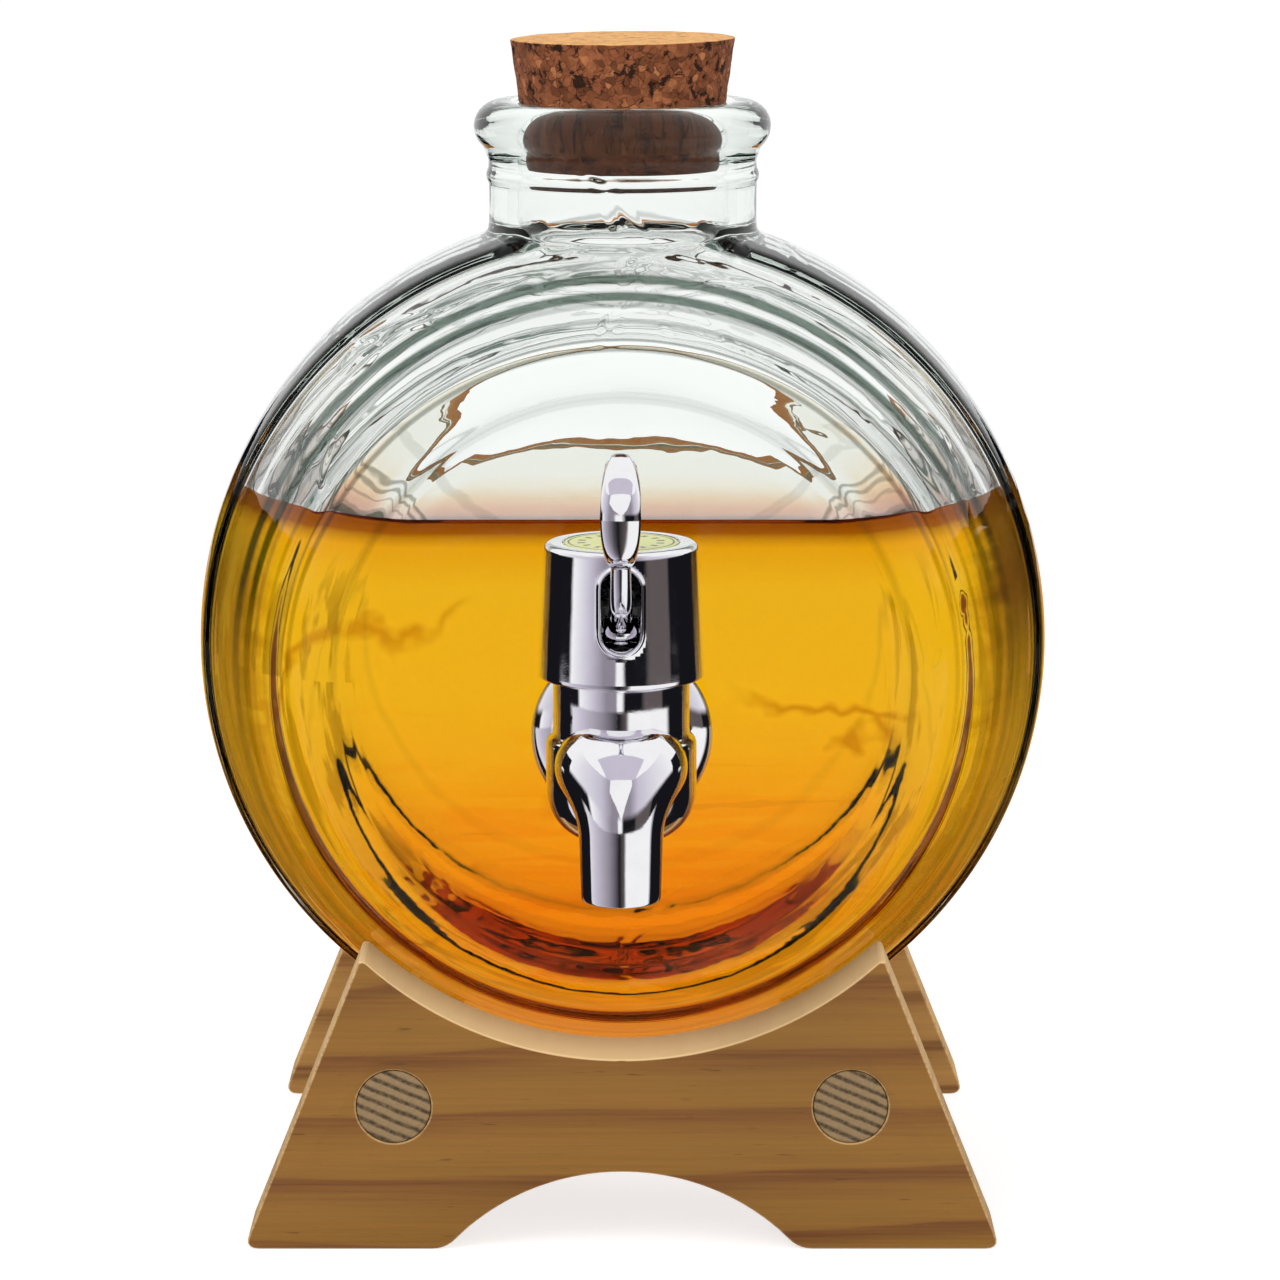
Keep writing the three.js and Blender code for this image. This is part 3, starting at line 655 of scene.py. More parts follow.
def drink_material(sizes):
    """An amber spirit, which darkens with depth. Its colour also carries painted light and shade: a dark line
    under the surface, pale and dark bands and streaks, darker sides and rims, and a painted reflection on the
    surface.
    """
    s = Shader("amber_drink")
    x, y, z = s.split(s.coord)
    rise, drop = s.less(z, BARREL_MIDDLE.z), s.less(sizes.level, z)
    reach = s.reach(x, rise)
    swirl = s.noise(s.mapped(scale=(1, 1, 4.5)), 26.0, 3, 0.6, 1.6)
    layer = s.noise(s.mapped(scale=(8, 8, 150)), 1.0, 3, 0.6, 0.8)
    wound = s.node("ShaderNodeCombineXYZ")
    bearing = s.math("ARCTAN2", rise, x)
    for k, value in enumerate((s.times(reach, 420.0), s.times(bearing, 1.6), s.times(y, 30.0))):
        s.link(value, wound.inputs[k])
    cord = s.noise(wound.outputs[0], 1.0, 3, 0.6, 0.5)
    # Painted shade: thin dark streaks, from the edges of warped cells
    dark_streak = s.times(
        s.ranged(s.cells(s.warped(60, 0.022, 3), 17.0, "DISTANCE_TO_EDGE"), 0.004, 0.022, 1, 0),
        s.eased(s.noise(s.coord, 26.0, 1), 0.50, 0.60, 0, 0.75))
    side = s.math("MULTIPLY_ADD", s.less(swirl, 0.5), 0.006, reach)
    # Masks: the front half, under the surface, over the barrel's foot, the outer ring and the bottom
    front = s.ranged(y, BARREL_MIDDLE.y - 0.004, BARREL_MIDDLE.y + 0.004, 1, 0)
    low = s.times(s.ranged(drop, 0.004, 0.012), front)
    high = s.eased(drop, 0.066, 0.086, 1, 0.12)
    ring = s.times(s.eased(reach, 0.041, 0.046), low, high)
    bottom = s.times(s.eased(drop, 0.045, 0.075), s.ranged(reach, 0.046, 0.052, 1, 0.4))
    # Painted shade: the drink is painted near black towards the barrel's sides
    edge = s.times(s.eased(side, 0.056, 0.062), s.eased(drop, 0.012, 0.05, 1, 0))
    facing, upright = s.facing(), s.normal()[2]
    # Painted shade: a darker brown where the drink's front is seen edge on, standing in for its longer path
    # and darker surroundings
    grazing_shade = s.times(s.eased(facing, 0.5, 0.95), front, high)
    near = s.ranged(drop, 0.0012, 0.0016, 1, 0)
    # Painted light and shade: a dark line just under the surface, a pale band below it, and redder tones
    # towards the bottom, standing in for the shade and the longer light paths seen through the glass
    tone = s.ramp(s.math("MULTIPLY", drop, 10.0, clamp=True), [
        (0.0, (0.10, 0.02, 0.003)), (0.012, (0.16, 0.04, 0.006)), (0.035, (0.85, 0.62, 0.35)),
        (0.10, (0.97, 0.95, 0.9)), (0.40, (1.0, 0.94, 0.8)), (0.62, (1.0, 0.56, 0.36)),
        (0.85, (1.0, 0.36, 0.2)), (1.0, (1.0, 0.55, 0.3)),
    ])
    # Painted light and shade: pale and dark rings at the sides, orange swirls, orange and dark bands over the
    # bottom, dark streaks, and dark and pale cords, standing in for what the glass throws into the drink
    for share, colour in (
            (s.times(s.eased(side, 0.043, 0.048, 0, 0.9), low, high), (0.92, 0.98, 0.75)),
            (s.times(s.eased(side, 0.054, 0.059, 0, 0.85), low, high), (0.40, 0.24, 0.12)),
            (s.times(s.eased(swirl, 0.56, 0.66, 0, 0.4), s.ranged(drop, 0.03, 0.07)),
             (0.95, 0.42, 0.15)),
            (s.times(s.eased(layer, 0.47, 0.55, 0, 0.7), bottom), (0.95, 0.30, 0.08)),
            (s.times(s.eased(layer, 0.62, 0.66, 0, 0.6), bottom), (0.45, 0.12, 0.03)),
            (s.times(dark_streak, low), (0.42, 0.16, 0.03)),
            (s.times(s.eased(cord, 0.52, 0.60, 0, 0.75), ring), (0.26, 0.22, 0.04)),
            (s.times(s.eased(cord, 0.34, 0.42, 0.5, 0), ring), (1.0, 1.0, 0.75)),
            (s.times(edge, s.ranged(x, -0.01, 0.01, 0.7, 0.98)), (0.03, 0.010, 0.004)),
            (s.times(grazing_shade, s.ranged(drop, 0.0005, 0.001)), (0.85, 0.42, 0.10)),
            # Painted highlight: faces near the surface that turn up or down are painted nearly white
            (s.times(s.ranged(s.math("ABSOLUTE", upright), 0.5, 0.9), near), (1.0, 0.97, 0.9))):
        tone = s.mix(share, tone, colour)
    # Painted reflection and shade on the surface: dark at the front, pale towards the back, and dark at the
    # sides
    half_depth = 0.047
    top = s.ramp(s.ranged(y, BARREL_MIDDLE.y - half_depth, BARREL_MIDDLE.y + half_depth), [
        (0.0, (0.16, 0.03, 0.005)), (0.10, (0.16, 0.03, 0.005)), (0.14, (0.55, 0.15, 0.015)),
        (0.22, (0.70, 0.26, 0.03)), (0.32, (0.80, 0.50, 0.18)), (0.46, (0.88, 0.80, 0.62)),
        (0.6, (0.90, 0.89, 0.82)), (1.0, (0.90, 0.90, 0.85)),
    ])
    top = s.mix(s.eased(s.math("ABSOLUTE", x), 0.040, 0.054, 0, 0.9), top, (0.10, 0.03, 0.008))
    on_top = s.times(s.ranged(upright, 0.5, 0.9), near)
    waves = s.noise(s.mapped(scale=(1, 1, 2.5)), 24.0, 1)
    s.set(Base_Color=s.mix(on_top, tone, top), Roughness=0.0, IOR=1.36, Transmission_Weight=1.0,
          Metallic=s.times(on_top, s.eased(facing, 0.55, 0.78, 0, 0.92)),
          Specular_Tint=s.mix(on_top, (0.08, 0.08, 0.08), (1, 1, 1)), Normal=s.bump(waves, 0.03, 0.001))
    s.absorb(sizes.colour, sizes.density)
    return s.material


def cork_material(sizes):
    """Pressed cork: granules of several browns with dark pits between them, paler where it was cut."""
    s = Shader("pressed_cork")
    bent = s.warped(420, 0.0016)
    grains = s.cells(bent, 760.0, "F1", "Color")
    edges = s.cells(bent, 760.0, "DISTANCE_TO_EDGE")
    tone = s.split(grains)[0]
    soft = s.noise(s.coord, 900.0, 3, 0.65)
    pits = s.noise(s.coord, 460.0, 3, 0.6, 0.6)
    side = sizes.side_colour
    colour = s.ramp(tone, [
        (0.0, shade(side, 0.45)), (0.25, shade(side, 0.8)), (0.65, tuple(side)),
        (0.88, (side[0] * 1.2, side[1] * 1.3, side[2] * 1.35)),
        (1.0, (side[0] * 1.7, side[1] * 2.0, side[2] * 2.0)),
    ])
    colour = s.mix(s.ranged(soft, 0.4, 0.75, 0, 0.55), colour, shade(side, 0.4))
    gap = s.ranged(edges, 0.0, 0.09, 1, 0)
    dark = s.math("MULTIPLY", gap, s.ranged(pits, 0.42, 0.58), clamp=True)
    hole = s.eased(pits, 0.57, 0.63)
    dark = s.math("MAXIMUM", s.times(dark, 0.8), hole)
    cut = s.eased(s.normal()[2], 0.5, 0.85)
    top = s.mix(s.ranged(tone, 0.3, 1.0, 0.0, 0.35), tuple(sizes.top_colour), (0.70, 0.26, 0.07))
    top = s.mix(s.ranged(soft, 0.6, 0.75, 0, 0.5), top, (0.42, 0.15, 0.04))
    colour = s.mix(cut, colour, top)
    height = s.split(s.coord)[2]
    # Painted shade: the part of the cork inside the glass neck is painted dark, standing in for the shade and
    # tint it takes there
    neck_shade = s.eased(height, LIP_TOP - 0.0035, LIP_TOP + 0.0005, 0.86, 0)
    colour = s.mix(neck_shade, colour, shade(side, 0.16))
    darkness = s.times(dark, s.ranged(cut, 0.0, 1.0, 1.0, 0.35))
    colour = s.mix(darkness, colour, (0.035, 0.012, 0.006))
    heights = s.less(s.times(soft, 0.5), darkness)
    s.set(Base_Color=colour, Roughness=s.ranged(soft, 0.3, 0.7, 0.78, 0.95),
          Normal=s.bump(heights, 0.7, 0.0005), Specular_IOR_Level=0.2)
    return s.material


def chrome_material(colour):
    """Bright plating over moulded plastic, with slight waves and a few dull specks."""
    s = Shader("plated_chrome")
    rough = 0.045
    waves = s.noise(s.coord, 150.0)
    fine = s.noise(s.coord, 2600.0, 2, 0.6)
    specks = s.ranged(s.noise(s.coord, 3800.0, 1), 0.70, 0.78)
    haze = s.noise(s.coord, 320.0, 3, 0.6)
    tone = s.mix(s.ranged(haze, 0.4, 0.8, 0, 0.35), colour, shade(colour, 0.86))
    roughness = s.math("ADD", s.ranged(haze, 0.35, 0.75, rough * 0.7, rough * 1.5), s.times(specks, 0.10))
    normal = s.bump(fine, 0.012, 0.0002)
    normal = s.bump(waves, 0.035, 0.0012, normal)
    s.set(Base_Color=tone, Roughness=roughness, Normal=normal, Metallic=1.0)
    return s.material


def label_material(colour):
    """A pale printed disc: a thin dark ring and a ring of short strokes, with no words."""
    s = Shader("printed_disc")
    x, y, _ = s.split(s.mapped(place=(0, -VALVE.y, 0)))
    reach = s.reach(x, y)
    stroke_count = 16
    turn = s.math("FRACT", s.times(s.math("ARCTAN2", y, x), stroke_count / FULL_TURN))
    def between(value, low, high, edge):
        rise = s.ranged(value, low - edge, low + edge)
        fall = s.ranged(value, high - edge, high + edge, 1, 0)
        return s.times(rise, fall)
    ring = between(reach, 0.0080, 0.0083, 0.0001)
    strokes = s.times(between(reach, 0.0056, 0.0068, 0.0001), between(turn, 0.25, 0.6, 0.03))
    ink = s.math("MAXIMUM", ring, strokes)
    speck = s.noise(s.coord, 1500.0)
    paper = s.mix(s.ranged(speck, 0.3, 0.7, 0, 0.3), colour, shade(colour, 1.12))
    s.set(Base_Color=s.mix(ink, paper, (0.05, 0.06, 0.02)), Roughness=s.ranged(speck, 0.3, 0.7, 0.3, 0.42),
          Normal=s.bump(speck, 0.05, 0.0001), Coat_Weight=0.3)
    return s.material


def moulded_material(name, colour, rough, metal=0.0, grain=900.0, strength=0.12):
    """Moulded plastic, rubber or brushed metal for the pieces that work inside."""
    s = Shader(name)
    stretch = (1, 1, 14) if metal else (1, 1, 1)
    speck = s.noise(s.mapped(scale=stretch), grain, 3, 0.6)
    patch = s.noise(s.coord, 120.0)
    tone = s.mix(s.ranged(patch, 0.3, 0.7, 0, 0.5), colour, shade(colour, 0.82))
    s.set(Base_Color=tone, Roughness=s.ranged(speck, 0.3, 0.7, rough * 0.85, min(1, rough * 1.15)),
          Normal=s.bump(speck, strength, 0.0002), Metallic=metal)
    return s.material


MATERIALS = {}


def finish(name, make, *values):
    """The material of that name, made once."""
    if name not in MATERIALS:
        MATERIALS[name] = make(*values)
    return MATERIALS[name]


# Stand

def board_outline(low, high):
    """The outline of a cradle board in the XZ plane, and the outlines of its two holes."""
    half_foot = (high.x - low.x) / 2
    shoulder = high.z
    slope = 0.4  # of the splayed sides, out for each unit down
    foot_round, arch_round, brow_round, lip_round = 2.56 * MM, 2.24 * MM, 0.45 * MM, 0.35 * MM
    cradle = 61.0 * MM
    arch_share, arch_height = 0.465, 13 * MM
    start_in, curve_in, lip_in = 2 * MM, 3 * MM, 0.5 * MM
    arch_steps, cradle_steps, corner_steps = 48, 96, 5
    half_cradle = math.sqrt(cradle ** 2 - (BARREL_MIDDLE.z - shoulder) ** 2)
    half_foot += slope * 1.6 * MM  # the rounding takes this much off the foot's tip
    half_shoulder = half_foot - slope * shoulder
    arch_half = arch_share * half_foot
    arch_radius = (arch_half ** 2 + arch_height ** 2) / (2 * arch_height)
    arch_centre = arch_height - arch_radius
    outline = []
    def corner(before, at, after, radius):
        before, at, after = Vector(before), Vector(at), Vector(after)
        start = at + (before - at).normalized() * radius
        end = at + (after - at).normalized() * radius
        for k in range(corner_steps + 1):
            t = k / corner_steps
            outline.append(start.lerp(at, t).lerp(at.lerp(end, t), t))
    foot, foot_inner = (-half_foot, 0), (-arch_half, 0)
    first_rise = math.sqrt(arch_radius ** 2 - (arch_half - start_in) ** 2)
    first_arch = (-arch_half + start_in, arch_centre + first_rise)
    corner((-half_shoulder, shoulder), foot, foot_inner, foot_round)
    corner(foot, foot_inner, first_arch, arch_round)
    feet = list(outline)
    angle = math.asin((arch_half - curve_in) / arch_radius)
    for k in range(arch_steps + 1):
        a = -angle + 2 * angle * k / arch_steps
        outline.append(Vector((arch_radius * math.sin(a), arch_centre + arch_radius * math.cos(a))))
    outline.extend(Vector((-p.x, p.y)) for p in feet[::-1])
    corner((half_foot, 0), (half_shoulder, shoulder), (half_cradle, shoulder), brow_round)
    corner((half_shoulder, shoulder), (half_cradle, shoulder),
           (half_cradle - start_in, shoulder - start_in), lip_round)
    span = math.asin((half_cradle - lip_in) / cradle)
    for k in range(cradle_steps + 1):
        a = span - 2 * span * k / cradle_steps
        outline.append(Vector((cradle * math.sin(a), BARREL_MIDDLE.z - cradle * math.cos(a))))
    corner((-half_cradle + start_in, shoulder - start_in), (-half_cradle, shoulder),
           (-half_shoulder, shoulder), lip_round)
    corner((-half_cradle, shoulder), (-half_shoulder, shoulder), foot, brow_round)
    holes = []
    for node in ("left_dowel", "right_dowel"):
        dowel_low, dowel_high = corners(node)
        centre = middle(dowel_low, dowel_high)
        radius = (dowel_high.x - dowel_low.x) / 2 + 0.1 * MM
        holes.append([Vector((centre.x + radius * math.cos(a), centre.z + radius * math.sin(a)))
                      for a in turns(48)])
    return outline, holes


def board_piece(name, low, high, edge, material):
    """A board cut from its outline, with its edges rounded by the bevel."""
    curve = bpy.data.curves.new(name + "_outline", "CURVE")
    curve.dimensions = "2D"
    curve.fill_mode = "BOTH"
    curve.extrude = (high.y - low.y) / 2 - edge
    curve.bevel_depth = edge
    curve.bevel_resolution = 2
    curve.offset = -edge
    outline, holes = board_outline(low, high)
    for loop in [outline, *holes]:
        spline = curve.splines.new("POLY")
        spline.points.add(len(loop) - 1)
        for point, place in zip(spline.points, loop):
            point.co = (place.x, place.y, 0, 1)
        spline.use_cyclic_u = True
    drawn = bpy.data.objects.new(name + "_outline", curve)
    bpy.context.scene.collection.objects.link(drawn)
    bpy.context.view_layer.update()
    data = bpy.data.meshes.new_from_object(drawn.evaluated_get(bpy.context.evaluated_depsgraph_get()))
    bpy.data.objects.remove(drawn)
    data.name = name
    centre = (low.y + high.y) / 2
    for vertex in data.vertices:
        x, z, y = vertex.co
        vertex.co = (x, centre - y, z)
    bm = bmesh.new()
    bm.from_mesh(data)
    bmesh.ops.remove_doubles(bm, verts=bm.verts, dist=1e-6)
    bmesh.ops.triangulate(bm, faces=[f for f in bm.faces if len(f.verts) > 4])
    bmesh.ops.recalc_face_normals(bm, faces=bm.faces)
    for face in bm.faces:
        face.smooth = True
    bm.to_mesh(data)
    bm.free()
    piece = placed(name, data, material)
    data.set_sharp_from_angle(angle=math.radians(30))
    return piece


class DISPENSER_OT_boards(bpy.types.Operator):
    """Makes the two cradle boards of sawn pine"""
    bl_idname = "dispenser.boards"
    bl_label = "Cradle boards"

    def execute(self, context):
        sizes = context.scene.dispenser_stand
        rows = [
            ("front_board", "front_cradle_board", FRONT_LOW, FRONT_HIGH, sizes.front_colour, (0.013, 0, 0.0)),
            ("rear_board", "rear_cradle_board", REAR_LOW, REAR_HIGH, sizes.rear_colour, (0.31, 0.4, 0.017)),
        ]
        for name, node, low, high, colour, offset in rows:
            wood = finish(name, pine_material, name + "_pine", tuple(colour), tuple(sizes.grain_colour),
                          tuple(sizes.lip_light_colour), offset)
            piece = board_piece(name, low, high, sizes.edge_round, wood)
            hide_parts(node)
            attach(piece, "stand")
        return {"FINISHED"}


class DISPENSER_OT_dowels(bpy.types.Operator):
    """Makes the two dowels that join the boards"""
    bl_idname = "dispenser.dowels"
    bl_label = "Dowels"

    def execute(self, context):
        wood = finish("dowel", dowel_material, tuple(context.scene.dispenser_stand.dowel_colour))
        for node in ("left_dowel", "right_dowel"):
            low, high = corners(node)
            centre = middle(low, high)
            radius, half = (high.x - low.x) / 2, (high.y - low.y) / 2
            edge = 0.35 * MM
            end = [(radius * k, half) for k in (0, 0.4, 0.75)]
            corner = [(radius - edge + edge * math.sin(a), half - edge + edge * math.cos(a))
                      for a in (0, 0.52, 1.05, math.pi / 2)]
            side = [(radius, half * k) for k in (0.8, 0.5, 0.2, -0.2, -0.5, -0.8)]
            profile = end + corner + side + [(r, -h) for r, h in (end + corner)[::-1]]
            skin = Skin()
            turned(skin, profile, centre, 64, "Y")
            piece = skin.piece(node + "_rod", wood)
            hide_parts(node)
            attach(piece, "stand")
        return {"FINISHED"}


# Glass

def half_line(shares, radius, half_length, per):
    """(radius, depth) points from the barrel's middle out to the head's rim and in to its centre."""
    line = smoothed([Vector((out * radius, along * half_length)) for along, out in shares], per)
    head = [Vector((share * radius, half_length)) for share in HEAD_SHARES]
    return line + head


def whole_line(shares, radius, half_length, per=6):
    half = half_line(shares, radius, half_length, per)
    front = [Vector((p.x, -p.y)) for p in half[1:]][::-1]
    return front + half


def outward(line, i):
    """The outward direction of a line of (radius, depth) points at its point i."""
    before, after = line[max(0, i - 1)], line[min(len(line) - 1, i + 1)]
    along = (after - before).normalized()
    return Vector((along.y, -along.x))


def eased(value, low, high):
    """0 below low, 1 above high, and smooth between them."""
    t = min(max((value - low) / (high - low), 0.0), 1.0)
    return t * t * (3 - 2 * t)


def wave(angle, run, radius, depth, seed):
    """Height of the glass's waves at a point of the barrel, from -1 to 1. They run round it, are stronger
    below, and die out by the neck and the tap."""
    across, up = math.sin(angle), math.cos(angle)
    slow = noise.noise(Vector((across * 1.7, up * 1.7, run * 55 + seed)))
    streak = noise.noise(Vector((across * 3.1 + 7, up * 3.1, run * 190 + seed)))
    fade = eased(radius, 18 * MM, 46 * MM)
    if up > 0:
        fade *= eased(math.hypot(across * radius, depth), 27 * MM, 44 * MM)
    below = 0.55 + 0.9 * eased(-up, -0.4, 0.8)
    return (0.75 * slow + 0.5 * streak) * fade * below


def hoops(share):
    """Height of the shallow hoops that the mould left inside, at a share of the head-to-middle distance."""
    return sum(height * math.exp(-((share - place) / width) ** 2) for place, width, height in HOOPS)


def barrel_rings(skin, line, columns, waves, grow, seed):
    """Rings of a wavy outline turned about the barrel's axis, the first at the top."""
    rings, run = [], 0.0
    for i, point in enumerate(line):
        if i:
            run += (point - line[i - 1]).length
        away = outward(line, i)
        rise = hoops(abs(point.y) / BARREL_HALF)
        points = []
        for a in turns(columns):
            by_neck = math.hypot(point.x * math.sin(a), point.y) if math.cos(a) > 0 else 1.0
            hoop = rise * eased(by_neck, 27 * MM, 40 * MM)
            shift = grow + waves * (wave(a, run, point.x, point.y, seed) + hoop)
            radius, depth = point.x + shift * away.x, point.y + shift * away.y
            points.append(BARREL_MIDDLE + Vector((radius * math.sin(a), depth, radius * math.cos(a))))
        rings.append(skin.ring(points))
    return rings


def radius_at(line, depth):
    """The outline's radius at a depth, on its long side."""
    for a, b in zip(line, line[1:]):
        if a.y <= depth <= b.y and b.y > a.y:
            return a.x + (b.x - a.x) * (depth - a.y) / (b.y - a.y)
    return line[0].x


def saddle_ring(line, radius, steps):
    """A ring about the neck's axis, lying on the barrel, and the way the barrel rises inwards from it."""
    places, rises = [], []
    for a in turns(steps):
        def height(reach, spread=0.0):
            x, y = reach * math.cos(a), reach * math.sin(a)
            mean = sum(radius_at(line, y + shift * spread) for shift in (-1, -0.5, 0, 0.5, 1)) / 5
            return math.sqrt(mean ** 2 - x ** 2)
        step, spread = 2 * MM, 6 * MM
        places.append(BARREL_MIDDLE + Vector((radius * math.cos(a), radius * math.sin(a), height(radius))))
        drop = height(radius - step, spread) - height(radius, spread)
        inward = Vector((-step * math.cos(a), -step * math.sin(a), drop))
        rises.append(inward.normalized())
    return places, rises


def fillet_rings(skin, places, rises, neck_radius, neck_height, steps):
    """Rings that sweep from the barrel's surface up into the neck's wall."""
    out = []
    ends = about_z(Vector((0, BARREL_MIDDLE.y, 0)), neck_radius, neck_height, len(places))
    for k in range(1, steps + 1):
        t = k / steps
        points = []
        for end, place, rise in zip(ends, places, rises):
            reach = 0.62 * (place - end).length
            lift = Vector((0, 0, -reach if end.z > place.z else reach))
            q = [place, place + rise * reach, end + lift, end]
            points.append(q[0] * (1 - t) ** 3 + q[1] * 3 * t * (1 - t) ** 2 + q[2] * 3 * t * t * (1 - t)
                          + q[3] * t ** 3)
        out.append(skin.ring(points))
    return out


class DISPENSER_OT_glass(bpy.types.Operator):
    """Makes the blown glass barrel with its neck, lip and the hole for the tap"""
    bl_idname = "dispenser.glass"
    bl_label = "Glass barrel"

    def execute(self, context):
        sizes = context.scene.dispenser_glass
        skin = Skin()
        neck_axis = Vector((0, BARREL_MIDDLE.y, 0))
        flat_top = lambda p: (p.x, p.y)
        flat_front = lambda p: (p.x, p.z)
        neck_steps, hole_steps = 144, 72
        hole_centre, hole_radius = Vector((0, 0, VALVE.z)), 7.9 * MM
        neck_margin, hole_margin, front_radius = 1.2 * MM, 1.4 * MM, 30 * MM
        seams = {}
        outside = whole_line(OUTSIDE_SHARES, BARREL_RADIUS, BARREL_HALF)
        inside = whole_line(INSIDE_SHARES, BARREL_RADIUS - sizes.wall, BARREL_HALF - sizes.head)
        for side, line, reach, waves, seed in (
                ("out", outside, 26.2 * MM, 0.16 * sizes.waves, 11.0),
                ("in", inside, 21.6 * MM, sizes.waves, INSIDE_SEED)):
            rings = barrel_rings(skin, line, sizes.columns, waves, 0.0, seed)
            def in_neck(p):
                from_axis = math.hypot(p.x, p.y - BARREL_MIDDLE.y)
                return p.z > BARREL_MIDDLE.z and from_axis < reach + neck_margin
            def in_hole(p):
                return p.y < BARREL_MIDDLE.y and math.hypot(p.x, p.z - VALVE.z) < hole_radius + hole_margin
            cut = max(k for k, p in enumerate(line) if p.y < 0 and p.x < front_radius) + 2
            middle_ring = skin.ring([BARREL_MIDDLE + Vector((0, line[0].y, 0))] * sizes.columns)
            hole_rim = skin.open_up([middle_ring] + rings[:cut], in_hole)
            neck_rim = skin.open_up(rings[cut - 1:], in_neck)
            skin.fan(rings[-1], BARREL_MIDDLE + Vector((0, line[-1].y, 0)))
            hole = skin.ring(about_y(hole_centre, hole_radius, BARREL_MIDDLE.y + line[0].y, hole_steps))
            skin.stitch(same_way(skin, hole_rim, hole, flat_front), hole)
            places, rises = saddle_ring(line, reach, neck_steps)
            saddle = skin.ring(places)
            skin.stitch(same_way(skin, neck_rim, saddle, flat_top), saddle)
            seams[side] = hole, saddle, places, rises
        skin.band(seams["out"][0], seams["in"][0])

        lip, base = LIP_TOP - BARREL_MIDDLE.z, BARREL_MIDDLE.z
        wall, bore, bead, mouth = 22.4 * MM, 17.8 * MM, 4.3 * MM, 1.5 * MM
        bead_centre = (24.8 * MM - bead, lip - bead)
        start = -math.degrees(math.acos((wall - bead_centre[0]) / bead))
        ridge_drop = 12.4
        ridge = [(0, -2.4), (0, -1.5), (0.08, -1.1), (0.3, -0.7), (0.4, -0.2), (0.4, 0.3), (0.25, 0.8),
                 (0.05, 1.3), (0, 1.8), (0, 2.6)]  # out from the neck's wall, and up from the ridge
        profile = [(wall + out * MM, lip + (rise - ridge_drop) * MM) for out, rise in ridge]
        profile += arc(bead_centre, bead, start + 14, 90, 16)
        profile += arc((bore + mouth, lip - mouth), mouth, 90, 180, 6)
        profile += [(bore - out * MM, lip - drop * MM) for out, drop in (
            (0.05, 5), (0.1, 10), (0.15, 14), (0.1, 17.5))]
        neck = []
        for radius, height in profile:
            in_bore = radius < bore + mouth and height < lip - 3 * MM
            sway_most = 0.14 * MM * (0.4 if in_bore else 1.0)
            points = []
            for p in about_z(neck_axis, radius, base + height, neck_steps):
                a = math.atan2(p.y - neck_axis.y, p.x)
                x, y = math.cos(a), math.sin(a)
                sway = sway_most * noise.noise(Vector((x * 2.2, y * 2.2, height * 90 + 5)))
                points.append(Vector((p.x + sway * x, p.y + sway * y, p.z)))
            neck.append(skin.ring(points))
        _, saddle, places, rises = seams["out"]
        fillet = fillet_rings(skin, places, rises, wall, base + 71.6 * MM, 9)
        _, inner_saddle, places, rises = seams["in"]
        inner = fillet_rings(skin, places, rises, bore, base + lip - 19 * MM, 7)
        skin.bands([saddle, *fillet, *neck, *inner[::-1], inner_saddle])
        glass = finish("glass", glass_material, sizes)
        piece = skin.piece("glass_vessel", glass)
        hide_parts("glass_barrel")
        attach(piece, "vessel")
        piece.visible_shadow = False
        return {"FINISHED"}


class DISPENSER_OT_drink(bpy.types.Operator):
    """Fills the barrel to its level, with the surface drawn up at the glass"""
    bl_idname = "dispenser.drink"
    bl_label = "Drink"

    def execute(self, context):
        glass, sizes = context.scene.dispenser_glass, context.scene.dispenser_drink
        skin = Skin()
        line = whole_line(INSIDE_SHARES, BARREL_RADIUS - glass.wall, BARREL_HALF - glass.head)
        grow = 0.2 * MM  # into the glass, so that no gap shows between them
        rings = barrel_rings(skin, line, glass.columns, glass.waves, grow, INSIDE_SEED)
        skin.bands(rings)
        skin.fan(rings[0], BARREL_MIDDLE + Vector((0, line[0].y - grow, 0)))
        skin.fan(rings[-1], BARREL_MIDDLE + Vector((0, line[-1].y + grow, 0)))
        piece = skin.piece("amber_drink", finish("drink", drink_material, sizes))
        bm = bmesh.new()
        bm.from_mesh(piece.data)
        bmesh.ops.bisect_plane(
            bm, geom=[*bm.verts, *bm.edges, *bm.faces], dist=SAME_PLACE, clear_outer=True,
            plane_co=(0, 0, sizes.level + sizes.rise), plane_no=(0, 0, 1))
        links = {}
        for edge in bm.edges:
            if edge.is_boundary:
                a, b = edge.verts
                links.setdefault(a, []).append(b)
                links.setdefault(b, []).append(a)
        loop = walked(links, min(links, key=lambda v: (v.co.x, v.co.y)))
        spots, inward = [v.co.copy() for v in loop], []
        for place in spots:
            depth = place.y - BARREL_MIDDLE.y
            slope = (radius_at(line, depth + MM) - radius_at(line, depth - MM)) / (2 * MM)
            away = Vector((-place.x, radius_at(line, depth) * slope, 0))
            if abs(depth) > line[-1].y - 0.1 * MM:
                away = Vector((0, -math.copysign(1, depth), 0))
            inward.append(away.normalized())
        for edge in bm.edges:
            if edge.is_boundary:
                edge.smooth = False
        last_ring = loop
        for reach, share in (  # in from the glass in millimetres, and share of the rise
                (0.3, 0.80), (0.6, 0.58), (1.0, 0.38), (1.5, 0.22), (2.1, 0.11), (2.9, 0.04), (4.0, 0.0)):
            ring = []
            for spot, away in zip(spots, inward):
                place = spot + away * (reach * MM + grow)
                place.z = sizes.level + sizes.rise * share
                ring.append(bm.verts.new(place))
            for i in range(len(loop)):
                j = (i + 1) % len(loop)
                bm.faces.new((last_ring[i], last_ring[j], ring[j], ring[i]))
            last_ring = ring
        bm.faces.new(last_ring)
        bmesh.ops.recalc_face_normals(bm, faces=bm.faces)
        for face in bm.faces:
            face.smooth = len(face.verts) < 5
        bm.to_mesh(piece.data)
        bm.free()
        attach(piece, "vessel")
        piece.visible_shadow = False
        return {"FINISHED"}


